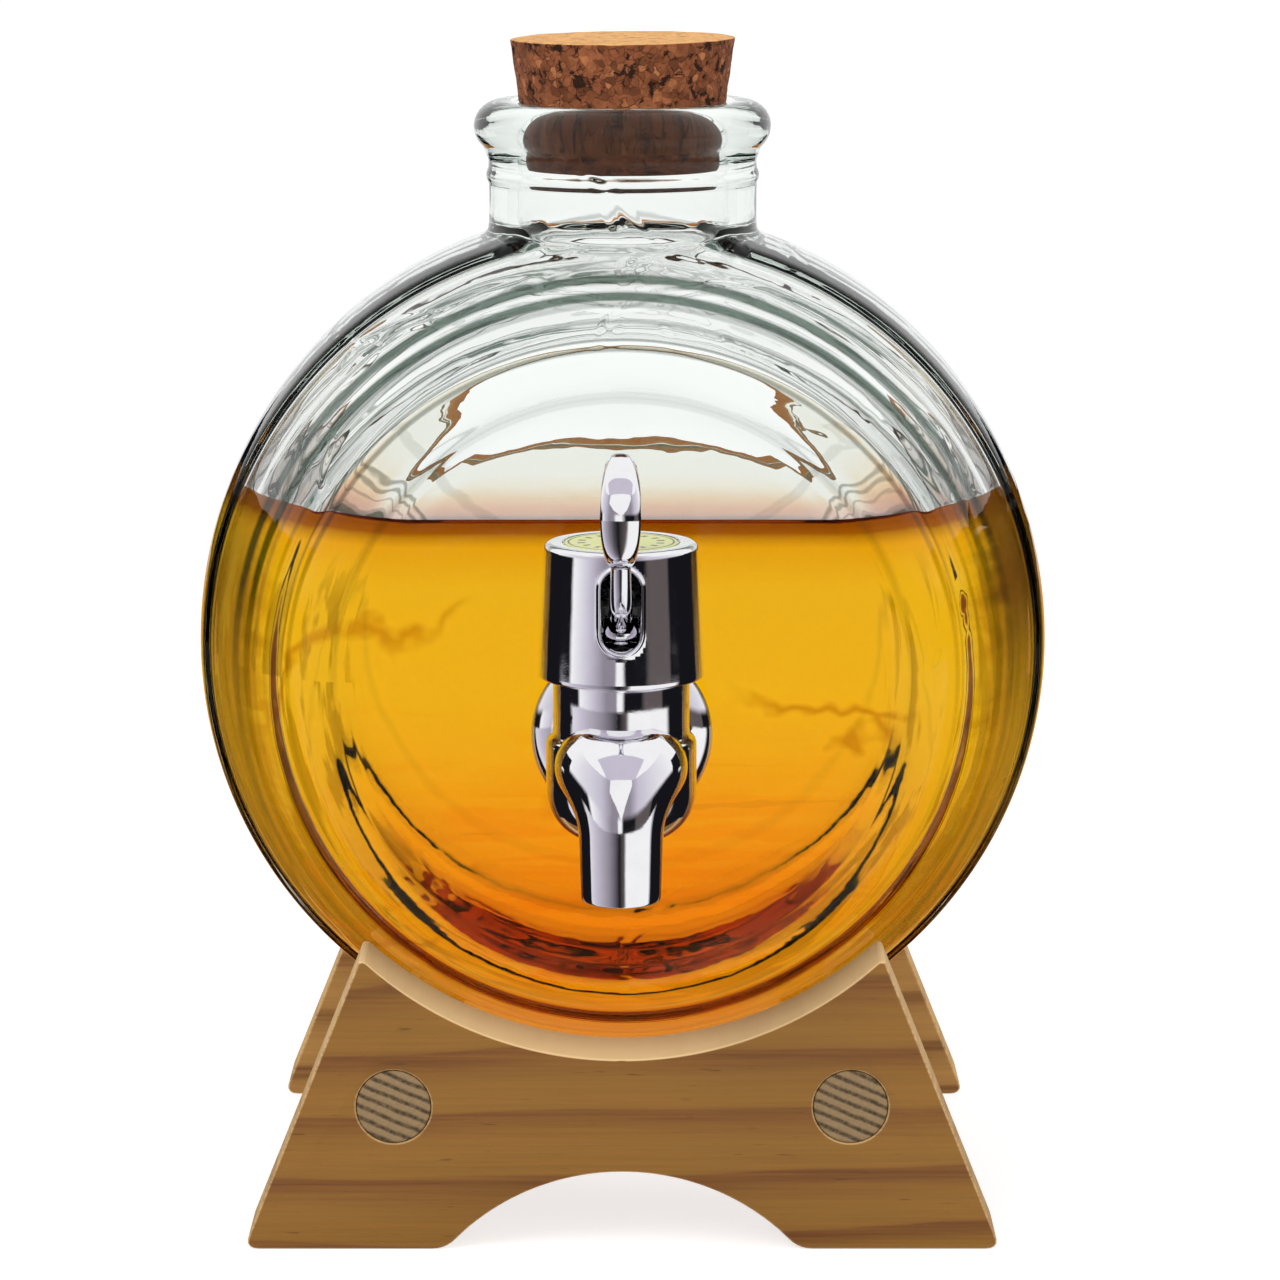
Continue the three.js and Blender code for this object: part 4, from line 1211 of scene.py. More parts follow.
class DISPENSER_OT_cork(bpy.types.Operator):
    """Makes the tapered cork, pitted on its side and cut clean on its top"""
    bl_idname = "dispenser.cork"
    bl_label = "Cork"

    def execute(self, context):
        sizes = context.scene.dispenser_cork
        centre = middle(CORK_LOW, CORK_HIGH)
        height = CORK_HIGH.z - CORK_LOW.z
        top = (CORK_HIGH.x - CORK_LOW.x) / 2
        taper = 0.14
        foot = top - taper * height
        rows, columns = 96, 280
        edge, room, top_room = 0.5 * MM, 0.15 * MM, 0.22 * MM
        skin = Skin()
        rings = []
        def rounding(level):
            """How far the side stands in, close to an end."""
            return edge * (1 - math.sqrt(1 - (1 - min(1.0, level / edge)) ** 2))
        def profile():
            """Radius, height and share of the roughness, from the foot's middle to the top's."""
            for share in (0.12, 0.3, 0.5, 0.7, 0.85):
                yield foot * share, 0.0, 0.25
            for k in range(rows + 1):
                level = k / rows * height
                inset = rounding(level) + rounding((1 - k / rows) * height)
                yield foot + taper * level - inset - room, level, 1.0
            for share in (0.93, 0.85, 0.75, 0.62, 0.5, 0.36, 0.22, 0.1):
                yield top * share, height, 0.25
        for radius, level, rough in profile():
            points = []
            for a in turns(columns):
                x, y = math.cos(a), math.sin(a)
                place = Vector((x * radius, y * radius, level))
                grain = noise.noise(place * 430) * 0.6 + noise.noise(place * 980 + Vector((3, 1, 7))) * 0.4
                pit = max(0.0, noise.noise(place * 330 + Vector((9, 4, 2))) - 0.22) * 1.9
                depth = min(sizes.roughness * (0.45 * grain - 1.6 * pit) * rough, room)
                if CORK_LOW.z + level < LIP_TOP:
                    depth = min(depth, 0.0) * 0.3
                sag = 0.10 * MM * (noise.noise(place * 150) - 0.5) - 0.05 * MM if level >= height else 0.0
                tilt = 0.010 * x * radius if level > 0.8 * height else 0.0
                points.append(Vector((
                    centre.x + x * (radius + depth), centre.y + y * (radius + depth),
                    min(CORK_LOW.z + level + sag + tilt - top_room, CORK_HIGH.z))))
            rings.append(skin.ring(points))
        skin.closed(rings)
        piece = skin.piece("cork", finish("cork", cork_material, sizes))
        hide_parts("cork_stopper")
        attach(piece, "cork")
        return {"FINISHED"}


# Tap

def elbow_sections(sides):
    """Rings of the spout: a flared root that bends down into the outlet tube, then back up its bore."""
    forward, tube, fillet = 14 * MM, 6.5 * MM, 1.2 * MM
    root_width, root_rise = 10.3, 8.0
    tip, tip_edge, bore, bore_top = 6.15 * MM, 0.5 * MM, 4.4 * MM, -5.8 * MM
    facet_y, facet_start, facet_slope, facet_level, facet_left = -9.9 * MM, -6 * MM, 0.22, 6.75 * MM, 0.06
    corner_y, corner_z = forward - tube - fillet, (8.2 - 16) * MM - fillet
    bend_steps, tube_steps = 30, 8
    def section(angle, half_width, half_rise):
        out_y, out_z = -math.sin(angle), math.cos(angle)
        y = -corner_y + out_y * (half_rise + fillet)
        z = corner_z + out_z * (half_rise + fillet)
        points = []
        for turn in turns(sides):
            lift = half_rise * math.cos(turn)
            points.append(Vector((half_width * math.sin(turn), y + out_y * lift, z + out_z * lift)))
        return points
    rings = [[Vector((p.x, -corner_y / 3, p.z)) for p in section(0, root_width * MM, root_rise * MM)]]
    for k in range(bend_steps + 1):
        share = k / bend_steps
        ease = (1 - math.cos(math.pi * share)) / 2
        width = (root_width + (tube / MM - root_width) * ease) * MM
        rise = (root_rise + (tube / MM - root_rise) * ease) * MM
        rings.append(section(math.pi / 2 * share, width, rise))
    low = BODY_LOW.z - VALVE.z
    end = rings[-1]
    start = end[0].z
    def level_ring(radius, height):
        aways = [Vector((p.x, p.y + forward, 0)).normalized() for p in end]
        rings.append([Vector((away.x * radius, -forward + away.y * radius, height)) for away in aways])
    for k in range(1, tube_steps + 1):
        share = k / tube_steps
        level_ring(tube + (tip - tube) * share, start + (low + tip_edge - start) * share)
    for a in (math.radians(30), math.radians(60), math.radians(90)):
        level_ring(tip - tip_edge * (1 - math.cos(a)), low + tip_edge * (1 - math.sin(a)))
    for out, height in ((0.4 * MM, low), (0.1 * MM, low + 0.1 * MM), (0, low + 0.4 * MM), (0, low + 6 * MM),
                        (0, bore_top)):
        level_ring(bore + out, height)
    for ring in rings:
        for p in ring:
            facet = facet_level + facet_slope * (p.y - facet_y)
            if p.y < facet_start and p.z > facet:
                p.z = facet + (p.z - facet) * facet_left
    return rings


class DISPENSER_OT_tap_body(bpy.types.Operator):
    """Makes the tap's plated body: bowl, spout, flange and threaded shank"""
    bl_idname = "dispenser.tap_body"
    bl_label = "Tap body"

    def execute(self, context):
        chrome = finish("chrome", chrome_material, tuple(context.scene.dispenser_tap.chrome))
        skin = Skin()
        bowl = arc((3.7, -4.7), 8, -90, 0, 14)
        profile = [(0, -12.7), *bowl, (11.7, -1.5), (11.7, 2.2), (11.66, 2.9), (11.5, 3.4), (11.2, 3.75),
                   (10.9, 3.95), (10.65, 4.3), (10.6, 4.8), (10.6, 8), (10.6, 12.5), (10.5, 12.9), (10.2, 13),
                   (10.2, 17.5), (9.8, 17.6), (7.9, 17.6), (7.6, 17.3), (7.6, 12.2), (0, 12.2)]
        turned(skin, lengths(profile), VALVE, 96)
        back = (GASKET_LOW.y - VALVE.y) / MM - 0.3
        shank_end = (BODY_HIGH.y - VALVE.y) / MM
        shank = [(0, 1), (8, 1), (8, back - 5.6), (8.05, back - 4.6), (8.3, back - 3.9), (8.9, back - 3.5),
                 (9.8, back - 3.4), (10.9, back - 3.35), (11.1, back - 3.1), (11.4, back - 3.0),
                 (12.6, back - 2.5), (13.7, back - 1.7), (14.2, back - 1.1), (14.45, back - 0.7),
                 (14.5, back - 0.4), (14.4, back - 0.1), (14.2, back), (12, back), (6.6, back),
                 (6.6, shank_end - 0.6), (6.1, shank_end), (4.6, shank_end), (4.2, shank_end - 0.4),
                 (4.2, back + 2), (4.2, 8), (0, 8)]
        turned(skin, lengths(shank), VALVE, 96, "Y")
        rings = [skin.ring([p + VALVE for p in ring]) for ring in elbow_sections(64)]
        skin.closed(rings)
        piece = skin.piece("tap_body_plated", chrome)
        piece.data.set_sharp_from_angle(angle=math.radians(42))
        thread_start, thread_end = GASKET_HIGH.y + 0.2 * MM, BODY_HIGH.y - 0.9 * MM
        thread = coil_piece("shank_thread", chrome, 6.6 * MM, 0.36 * MM, thread_end - thread_start, 9, 48, 6)
        for vertex in thread.data.vertices:
            x, y, z = vertex.co
            vertex.co = (x, thread_start + z, VALVE.z + y)
        thread.data.flip_normals()
        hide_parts("tap_body")
        for part in (piece, thread):
            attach(part, "vessel")
        return {"FINISHED"}


def coil_group():
    """The node group that winds a wire into a coil about the Z axis."""
    if "wound_wire" in bpy.data.node_groups:
        return bpy.data.node_groups["wound_wire"]
    group = bpy.data.node_groups.new("wound_wire", "GeometryNodeTree")
    face = group.interface
    face.new_socket(name="Geometry", in_out="OUTPUT", socket_type="NodeSocketGeometry")
    for name, kind in (
            ("Geometry", "Geometry"), ("Radius", "Float"), ("Wire", "Float"), ("Height", "Float"),
            ("Turns", "Float"), ("Steps", "Int"), ("Sides", "Int"), ("Material", "Material")):
        face.new_socket(name=name, in_out="INPUT", socket_type="NodeSocket" + kind)
    start, end = group.nodes.new("NodeGroupInput"), group.nodes.new("NodeGroupOutput")
    spiral, circle, sweep, smooth, real, paint = (group.nodes.new("GeometryNode" + kind) for kind in (
        "CurveSpiral", "CurvePrimitiveCircle", "CurveToMesh", "SetShadeSmooth", "RealizeInstances",
        "SetMaterial"))
    sweep.inputs["Fill Caps"].default_value = True
    for giver, output, taker, entry in (
            (start, "Radius", spiral, "Start Radius"), (start, "Radius", spiral, "End Radius"),
            (start, "Height", spiral, "Height"), (start, "Turns", spiral, "Rotations"),
            (start, "Steps", spiral, "Resolution"), (start, "Wire", circle, "Radius"),
            (start, "Sides", circle, "Resolution"), (spiral, "Curve", sweep, "Curve"),
            (circle, "Curve", sweep, "Profile Curve"), (sweep, "Mesh", smooth, "Geometry"),
            (smooth, "Geometry", real, "Geometry"), (real, "Geometry", paint, "Geometry"),
            (start, "Material", paint, "Material"), (paint, "Geometry", end, "Geometry")):
        group.links.new(giver.outputs[output], taker.inputs[entry])
    return group


def coil_piece(name, material, radius, wire, height, turns, steps, sides):
    """A coil about the Z axis that starts at the origin, as a plain mesh."""
    group = coil_group()
    holder = bpy.data.objects.new(name + "_holder", bpy.data.meshes.new(name + "_holder"))
    bpy.context.scene.collection.objects.link(holder)
    modifier = holder.modifiers.new("coil", "NODES")
    modifier.node_group = group
    values = {"Radius": radius, "Wire": wire, "Height": height, "Turns": float(turns), "Steps": steps,
              "Sides": sides, "Material": material}
    for item in group.interface.items_tree:
        if item.in_out == "INPUT" and item.name in values:
            modifier[item.identifier] = values[item.name]
    bpy.context.view_layer.update()
    data = bpy.data.meshes.new_from_object(holder.evaluated_get(bpy.context.evaluated_depsgraph_get()))
    data.name = name
    bpy.data.objects.remove(holder)
    bm = bmesh.new()
    bm.from_mesh(data)
    bmesh.ops.remove_doubles(bm, verts=bm.verts, dist=SAME_PLACE)
    bmesh.ops.recalc_face_normals(bm, faces=bm.faces)
    bm.to_mesh(data)
    bm.free()
    return placed(name, data, material)


class DISPENSER_OT_cap(bpy.types.Operator):
    """Makes the plated cap with its rimmed slot, and the disc let into its top"""
    bl_idname = "dispenser.cap"
    bl_label = "Cap and disc"

    def execute(self, context):
        tap = context.scene.dispenser_tap
        chrome = finish("chrome", chrome_material, tuple(tap.chrome))
        low, high = CAP_LOW.z, CAP_HIGH.z
        foot, crown, inner_radius = 12.9 * MM, 11.9 * MM, 10.5 * MM
        bevel, foot_edge, roof = 0.9 * MM, 0.35 * MM, 1.6 * MM
        wall_steps, bore_steps, end_steps, side_steps = 45, 44, 18, 6
        slot_low, slot_high, half = VALVE.z + 19 * MM, VALVE.z + 31.8 * MM, 3.0 * MM
        skin = Skin()
        def wall(level):
            return foot + (crown - foot) * (level - low) / (high - bevel - low)
        def on_wall(x, level, out):
            return Vector((x, VALVE.y - math.sqrt((wall(level) + out) ** 2 - x ** 2), level))
        def level_ring(radius, level):
            return skin.ring(about_z(VALVE, radius, level, 180, -math.pi / 2))
        def slot_outline(margin):
            points = []
            ends = (slot_high - half, slot_low + half)
            for centre, other, sign in ((*ends, -1), (*ends[::-1], 1)):
                for k in range(end_steps + 1):
                    a = math.radians((0 if sign < 0 else 180) + 180 * k / end_steps)
                    points.append(((half + margin) * math.cos(a), centre + (half + margin) * math.sin(a)))
                for k in range(1, side_steps):
                    points.append((sign * (half + margin), centre + (other - centre) * k / side_steps))
            return points
        def in_slot(margin):
            def inside(p):
                nearest = min(max(p.z, slot_low + half), slot_high - half)
                return p.y < VALVE.y and math.hypot(p.x, p.z - nearest) < half + margin
            return inside
        span = high - bevel - low - foot_edge
        rings = [level_ring(wall(level), level) for level in (
            low + foot_edge + span * k / wall_steps for k in range(wall_steps + 1))]
        rim = skin.open_up(rings, in_slot(1.05 * MM))
        # Margin round the slot, and height over the cap's wall
        steps = [(0.9, 0.0), (0.8, 0.03), (0.62, 0.16), (0.48, 0.34), (0.32, 0.42), (0.15, 0.38),
                 (0.03, 0.2), (0.0, -0.05), (-0.03, -0.8), (-0.03, -1.9)]
        slot_rings = [skin.ring([on_wall(x, z, out * MM) for x, z in slot_outline(margin * MM)])
                      for margin, out in steps]
        flat = lambda p: (p.x, p.z)
        skin.stitch(same_way(skin, rim, slot_rings[0], flat), slot_rings[0])
        skin.bands(slot_rings)
        # Radius, and drop from the cap's top
        top = [(crown - 0.06 * MM, bevel * 0.7), (crown - 0.22 * MM, bevel * 0.42),
               (crown - 0.5 * MM, bevel * 0.17), (crown - 0.85 * MM, 0.03 * MM), (crown - 1.2 * MM, 0),
               (crown - 2.4 * MM, 0), (9.3 * MM, 0), (9.12 * MM, 0.08 * MM), (9.1 * MM, 0.8 * MM)]
        crown_rings = [rings[-1]] + [level_ring(radius, high - drop) for radius, drop in top]
        skin.bands(crown_rings)
        skin.cap(crown_rings[-1])
        # Radius, and height over the cap's foot
        under = [(foot - 0.06 * MM, 0.16 * MM), (foot - 0.2 * MM, 0.04 * MM), (foot - 0.4 * MM, 0),
                 (inner_radius + 0.3 * MM, 0), (inner_radius, 0.3 * MM)]
        foot_rings = [rings[0]] + [level_ring(radius, low + rise) for radius, rise in under]
        skin.bands(foot_rings)
        bore_low = low + 0.3 * MM
        bore_rise = (high - roof - bore_low) / bore_steps
        bore = [foot_rings[-1]] + [level_ring(inner_radius, bore_low + bore_rise * k)
                                   for k in range(1, bore_steps + 1)]
        inner_rim = skin.open_up(bore, in_slot(0.3 * MM))
        back_ring = skin.ring([Vector((x, VALVE.y - math.sqrt(inner_radius ** 2 - x ** 2), z))
                               for x, z in slot_outline(-0.03 * MM)])
        skin.stitch(same_way(skin, inner_rim, back_ring, flat), back_ring)
        skin.band(slot_rings[-1], back_ring)
        skin.cap(bore[-1])
        piece = skin.piece("tap_cap_plated", chrome)
        piece.data.set_sharp_from_angle(angle=math.radians(50))
        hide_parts("tap_cap")
        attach(piece, "vessel")

        disc = Skin()
        radius, thick = (LABEL_HIGH.x - LABEL_LOW.x) / 2, LABEL_HIGH.z - LABEL_LOW.z
        edge = 0.1 * MM
        profile = [(0, 0), (radius, 0), (radius, thick - edge), (radius - edge, thick), (radius * 0.6, thick),
                   (0, thick)]
        turned(disc, profile, Vector((0, VALVE.y, LABEL_LOW.z)), 72)
        label = disc.piece("cap_disc", finish("label", label_material, tuple(tap.label_colour)))
        label.data.set_sharp_from_angle(angle=math.radians(40))
        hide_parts("cap_label_disc")
        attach(label, "vessel")
        return {"FINISHED"}


class DISPENSER_OT_lever(bpy.types.Operator):
    """Makes the lever: a hub and toe in the cap, a slim arm and a finger loop"""
    bl_idname = "dispenser.lever"
    bl_label = "Lever"

    def execute(self, context):
        chrome = finish("chrome", chrome_material, tuple(context.scene.dispenser_tap.chrome))
        skin = Skin()
        sides = 28
        low, high = corners("tap_lever")
        width = high.x - low.x
        loop_depth, loop_height, ring = 17 * MM, 17.7 * MM, 2.9 * MM
        centre = Vector((0, low.y + loop_depth / 2, high.z - loop_height / 2))
        mid_y, mid_z = (loop_depth - ring) / 2, (loop_height - ring) / 2
        rings = []
        for a in turns(96):
            place = centre + Vector((0, mid_y * math.cos(a), mid_z * math.sin(a)))
            away = Vector((0, math.cos(a) / mid_y, math.sin(a) / mid_z)).normalized()
            half_width = (0.56 + 0.44 * abs(math.cos(a)) ** 1.3) * width / 2
            rings.append(skin.ring([
                place + away * (squared(math.cos(t), 0.8) * ring / 2)
                + Vector((squared(math.sin(t), 0.75) * half_width, 0, 0)) for t in turns(sides)]))
        skin.bands(rings + [rings[0]])

        reach = Vector((0, -11 * MM, 13 * MM))
        bend = Vector((0, 0.68 * reach.y, 0.5 * reach.z))
        arm = []
        steps = 22
        for k in range(steps + 1):
            t = k / steps
            place = PIN + bend * 2 * t * (1 - t) + reach * t * t
            along = (bend * (2 - 4 * t) + reach * 2 * t).normalized()
            out = Vector((0, along.z, -along.y)).normalized()
            thick = (3.4 + (3.0 - 3.4) * t) * MM / 2
            half_width = (4.3 + (2.9 - 4.3) * t ** 0.8) * MM / 2
            arm.append(skin.ring([
                place + out * (squared(math.cos(a), 0.8) * thick)
                + Vector((squared(math.sin(a), 0.65) * half_width, 0, 0)) for a in turns(sides)]))

        hub_half = 2.7 * MM
        hub = []
        for x, radius in ((-hub_half, 1.3), (-hub_half, 2.2), (-hub_half + 0.3 * MM, 2.5),
                          (hub_half - 0.3 * MM, 2.5), (hub_half, 2.2), (hub_half, 1.3)):
            hub.append(skin.ring([PIN + Vector((x, radius * MM * math.cos(a), radius * MM * math.sin(a)))
                                  for a in turns(40)]))
        skin.bands(hub + [hub[0]])
        toe = []
        for y, half_rise, share in ((1.6, 1.1, 1), (3.2, 1.1, 1), (4.9, 1.1, 1), (5.2, 0.8, 0.9)):
            half_width, half_height = hub_half * share, half_rise * MM
            toe.append(skin.ring([
                PIN + Vector((squared(math.cos(a), 0.3) * half_width, y * MM,
                              squared(math.sin(a), 0.3) * half_height)) for a in turns(24)]))
        skin.closed(arm)
        skin.closed(toe)
        piece = skin.piece("lever_plated", chrome)
        piece.data.set_sharp_from_angle(angle=math.radians(55))
        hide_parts("tap_lever")
        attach(piece, "lever")
        return {"FINISHED"}


class DISPENSER_OT_works(bpy.types.Operator):
    """Finishes the pieces that work inside the tap and clamp it to the glass, and winds the return spring"""
    bl_idname = "dispenser.works"
    bl_label = "Valve and clamp"

    def execute(self, context):
        steel = finish("steel", moulded_material, "brushed_steel", (0.50, 0.505, 0.515), 0.3, 1.0, 700.0, 0.1)
        white = finish("white", moulded_material, "white_plastic", (0.78, 0.78, 0.74), 0.42)
        rubber = finish("rubber", moulded_material, "black_rubber", (0.025, 0.025, 0.028), 0.72, 0.0, 1800.0,
                        0.2)
        rows = {
            steel: ("lever_pin", "clamp_washer"),
            white: ("valve_stem", "stem_guide", "shank_nut"),
            rubber: ("valve_seal", "stem_o_ring", "cap_o_ring", "outer_gasket", "inner_gasket"),
        }
        for material, nodes in rows.items():
            for node in nodes:
                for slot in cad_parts[node].material_slots:
                    slot.link = "OBJECT"
                    slot.material = material
        wire = 0.35 * MM
        height = SPRING_HIGH.z - SPRING_LOW.z - 2 * wire
        spring = coil_piece("wound_spring", steel, 3 * MM, wire, height, 3.5, 40, 12)
        for vertex in spring.data.vertices:
            vertex.co = vertex.co + Vector((0, VALVE.y, SPRING_LOW.z + wire))
        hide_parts("return_spring")
        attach(spring, "vessel")
        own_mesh(spring)
        return {"FINISHED"}


# Stage

CARD_MIDDLE_Y = -0.05  # the upright axis that the cards' bearings turn about, near the tap
PAPER = 14.0  # half the width of the white paper


def shown_to(piece, gloss=True):
    """Leaves a card to gloss alone, or to what passes through glass alone."""
    piece.visible_camera = False
    piece.visible_diffuse = False
    piece.visible_shadow = False
    piece.visible_volume_scatter = False
    piece.visible_glossy = gloss
    piece.visible_transmission = not gloss


def card_material(name, stops, *levels):
    """A glow that changes with the bearing from the front towards the viewer's left. Stops are (bearing in
    degrees, colour), and each level's own stops take over between its two heights."""
    s = Plain(name)
    x, y, z = s.split(s.mapped(place=(0, -CARD_MIDDLE_Y, 0)))
    bearing = s.math("ARCTAN2", s.times(x, -1.0), s.times(y, -1.0))
    share = s.math("MULTIPLY_ADD", bearing, 1 / FULL_TURN, 0.5)
    def round_glow(tones):
        return s.ramp(share, [((degrees + 180) / 360, tone) for degrees, tone in tones])
    colour = round_glow(stops)
    for low, high, others in levels:
        colour = s.mix(s.eased(z, low, high), colour, round_glow(others))
    glow = s.node("ShaderNodeEmission")
    s.link(colour, glow.inputs["Color"])
    s.show(glow)
    return s.material


def even(tone):
    """The stops of a card that glows alike all round."""
    return [(-180, tone), (180, tone)]


def past(bearing, inside, outside, fade=8):
    """The stops of a card with one tone in front and another beyond a bearing on both sides."""
    return [(-180, outside), (-bearing - fade, outside), (-bearing, inside), (bearing, inside),
            (bearing + fade, outside), (180, outside)]


def screen(name, material, first, last, steps):
    """An upright curved card round the tap, from one bearing to another."""
    reach, height = 0.5, 0.5
    skin = Skin()
    rows = []
    for level in (0.0, height):
        points = []
        for k in range(steps + 1):
            a = math.radians(first + (last - first) * k / steps)
            points.append((-reach * math.sin(a), CARD_MIDDLE_Y - reach * math.cos(a), level))
        rows.append(skin.ring(points))
    for k in range(steps):
        skin.faces.append((rows[0][k], rows[0][k + 1], rows[1][k + 1], rows[1][k]))
    return skin.piece(name, material, smooth=False)


def flat_card(name, outline, material):
    """A flat card."""
    skin = Skin()
    skin.faces.append(tuple(skin.ring(outline)))
    return skin.piece(name, material, smooth=False)


def level_corners(left, right, near, far, level):
    return [(left, near, level), (right, near, level), (right, far, level), (left, far, level)]


def floor_material():
    """White paper. The camera, gloss and glass see it lifted to white, and it keeps the object's shadow."""
    s = Plain("white_paper")
    seen, lit = s.node("ShaderNodeBsdfDiffuse"), s.node("ShaderNodeBsdfDiffuse")
    glow, both = s.node("ShaderNodeEmission"), s.node("ShaderNodeAddShader")
    s.feed(seen.inputs["Color"], s.mix(s.noise(s.coord, 60), (0.50, 0.50, 0.50), (0.52, 0.52, 0.52)))
    s.feed(lit.inputs["Color"], (0.8, 0.8, 0.8))
    s.feed(glow.inputs["Color"], (1, 1, 1))
    s.feed(glow.inputs["Strength"], 0.72)
    s.link(seen.outputs[0], both.inputs[0])
    s.link(glow.outputs[0], both.inputs[1])
    s.seen_or_lit(both, lit)
    return s.material


def lamp(name, place, target, size, power):
    """A soft square lamp that only lights, and isn't seen or reflected."""
    data = bpy.data.lights.new(name, "AREA")
    data.shape = "RECTANGLE"
    data.size = data.size_y = size
    data.energy = power
    obj = bpy.data.objects.new(name, data)
    obj.location = place
    obj.rotation_euler = (Vector(target) - Vector(place)).to_track_quat("-Z", "Y").to_euler()
    obj.visible_glossy = False
    obj.visible_transmission = False
    obj.visible_camera = False
    bpy.context.scene.collection.objects.link(obj)


class DISPENSER_OT_stage(bpy.types.Operator):
    """Sets up the white paper, the soft light, the cards round the object and the camera"""
    bl_idname = "dispenser.stage"
    bl_label = "Stage"

    def execute(self, context):
        sizes = context.scene.dispenser_stage
        scene = context.scene
        flat_card("paper_floor", level_corners(-PAPER, PAPER, -PAPER, PAPER, 0), floor_material())

        world = bpy.data.worlds.new("studio")
        scene.world = world
        sky = Nodes(world, "ShaderNodeOutputWorld")
        seen, lit = sky.node("ShaderNodeBackground"), sky.node("ShaderNodeBackground")
        for node, strength in ((seen, 1.0), (lit, sizes.room_light)):
            sky.feed(node.inputs["Color"], (1, 1, 1))
            sky.feed(node.inputs["Strength"], strength)
        sky.seen_or_lit(seen, lit)
        lamp("key", (-0.55, -0.75, 0.95), (0, 0, 0.08), 0.6, 5.0)
        lamp("fill", (0.8, -0.5, 0.6), (0, 0, 0.08), 0.7, 2.2)

        black, white = (0.008, 0.008, 0.011), (1.0, 1.0, 1.0)
        lilac, dusk, brown = (0.62, 0.58, 0.68), (0.30, 0.27, 0.32), (0.12, 0.10, 0.10)
        pale, warm = (0.80, 0.78, 0.83), (0.85, 0.40, 0.10)
        under_stops = [
            (-180, white), (-118, pale), (-108, lilac), (-96, black), (-88, black), (-80, white),
            (-14, white), (-8, brown), (4, black), (30, dusk), (70, lilac), (88, pale), (95, black),
            (101, black), (110, lilac), (180, white),
        ]
        cap_stops = [
            (-180, black), (-74, black), (-70, brown), (-40, brown), (-33, black), (-6, black), (-1, white),
            (6, white), (9, dusk), (24, dusk), (45, lilac), (72, white), (77, black), (180, black),
        ]
        high_stops = [
            (-180, white), (-110, white), (-75, pale), (-40, lilac), (-20, dusk), (20, dusk), (45, lilac),
            (80, pale), (110, white), (180, white),
        ]
        low_stops = [(-180, black), *under_stops[4:13], (180, black)]
        round_tap = card_material("round_tap", low_stops, (0.03, 0.045, cap_stops), (0.11, 0.17, high_stops))
        behind = card_material("behind", past(144, black, warm), (0.035, 0.075, even(white)))
        bright = card_material("bright_box", even(white))
        dark = card_material("dark_side", even(black))
        green = card_material("green_shade", even((0.10, 0.15, 0.12)))
        shown_to(screen("card_round", round_tap, -122, 122, 72))
        shown_to(screen("card_behind", behind, 122, 238, 36))
        for name, near, far, level, material in (
                ("card_under", -0.62, -0.05, MM, card_material("under_tap", under_stops)),
                ("card_under_back", -0.05, 0.45, MM, card_material("wood_glow", past(148, black, warm))),
                ("card_over_front", -0.95, -0.25, 0.8, card_material("pale_grey", even(lilac))),
                ("card_over_back", -0.25, 0.6, 0.8, bright)):
            shown_to(flat_card(name, level_corners(-0.5, 0.5, near, far, level), material))
        shown_to(flat_card("card_wedge", [(-0.40, -0.5, 0.5), (0.01, -0.5, 0.12), (0.28, -0.5, 0.5)], bright))
        for name, side in (("card_side_left", -0.125), ("card_side_right", 0.125)):
            outline = [(side, -0.02, 0.084), (side, 0.3, 0.084), (side, 0.3, 0.132), (side, -0.02, 0.132)]
            shown_to(flat_card(name, outline, dark))
        outline = [(-0.6, 0.05, 0.9), (0.6, 0.05, 0.9), (0.6, 0.8, 0.5), (-0.6, 0.8, 0.5)]
        shown_to(flat_card("card_high", outline, green), gloss=False)

        data = bpy.data.cameras.new("camera")
        data.lens = sizes.lens
        data.sensor_width = 36
        data.clip_start, data.clip_end = 0.01, 100
        camera = bpy.data.objects.new("camera", data)
        camera.location = sizes.eye
        camera.rotation_euler = (math.pi / 2 - sizes.pitch, 0, 0)
        scene.collection.objects.link(camera)
        scene.camera = camera
        scene.view_settings.view_transform = "Standard"
        scene.cycles.max_bounces = 24
        scene.cycles.transmission_bounces = 24
        scene.cycles.transparent_max_bounces = 16
        return {"FINISHED"}


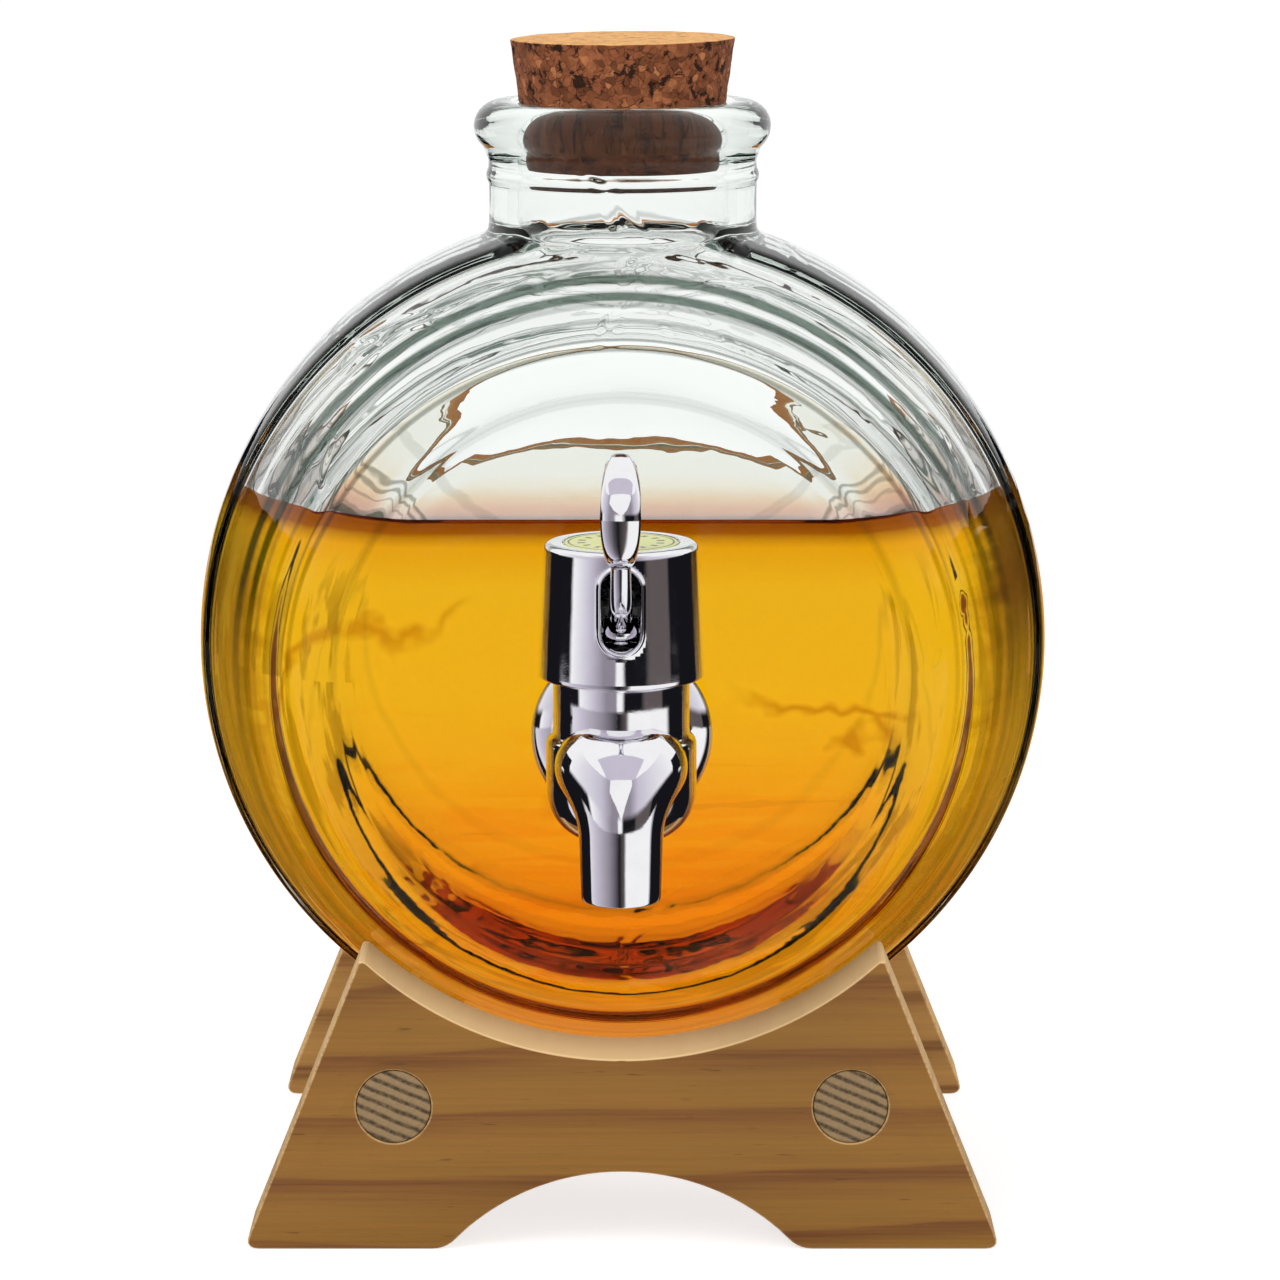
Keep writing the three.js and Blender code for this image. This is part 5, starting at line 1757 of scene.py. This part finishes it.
class DISPENSER_PT_panel(bpy.types.Panel):
    """Lists the dispenser's pieces and their sizes"""
    bl_idname = "DISPENSER_PT_panel"
    bl_label = "Dispenser"
    bl_space_type = "VIEW_3D"
    bl_region_type = "UI"
    bl_category = "Dispenser"

    def draw(self, context):
        for name, operators in PANEL_ROWS:
            box = self.layout.box()
            group = getattr(context.scene, name)
            for key in group.__annotations__:
                box.prop(group, key)
            for operator in operators:
                box.operator(operator)


PANEL_ROWS = [
    ("dispenser_stand", ("dispenser.boards", "dispenser.dowels")),
    ("dispenser_glass", ("dispenser.glass",)),
    ("dispenser_drink", ("dispenser.drink",)),
    ("dispenser_cork", ("dispenser.cork",)),
    ("dispenser_tap", ("dispenser.tap_body", "dispenser.cap", "dispenser.lever", "dispenser.works")),
    ("dispenser_stage", ("dispenser.stage",)),
]
GROUPS = {
    "dispenser_stand": StandSizes, "dispenser_glass": GlassSizes, "dispenser_drink": DrinkSizes,
    "dispenser_cork": CorkSizes, "dispenser_tap": TapSizes, "dispenser_stage": StageSizes,
}
CLASSES = (
    *GROUPS.values(), DISPENSER_OT_boards, DISPENSER_OT_dowels, DISPENSER_OT_glass, DISPENSER_OT_drink,
    DISPENSER_OT_cork, DISPENSER_OT_tap_body, DISPENSER_OT_cap, DISPENSER_OT_lever, DISPENSER_OT_works,
    DISPENSER_OT_stage, DISPENSER_PT_panel,
)


def register():
    for cls in CLASSES:
        bpy.utils.register_class(cls)
    for name, group in GROUPS.items():
        setattr(bpy.types.Scene, name, PointerProperty(type=group))


def unregister():
    for name in GROUPS:
        delattr(bpy.types.Scene, name)
    for cls in reversed(CLASSES):
        bpy.utils.unregister_class(cls)


def main():
    register()
    bpy.ops.dispenser.stage()
    bpy.ops.dispenser.boards()
    bpy.ops.dispenser.dowels()
    bpy.ops.dispenser.glass()
    bpy.ops.dispenser.drink()
    bpy.ops.dispenser.cork()
    bpy.ops.dispenser.tap_body()
    bpy.ops.dispenser.cap()
    bpy.ops.dispenser.lever()
    bpy.ops.dispenser.works()


if __name__ == "__main__":
    main()
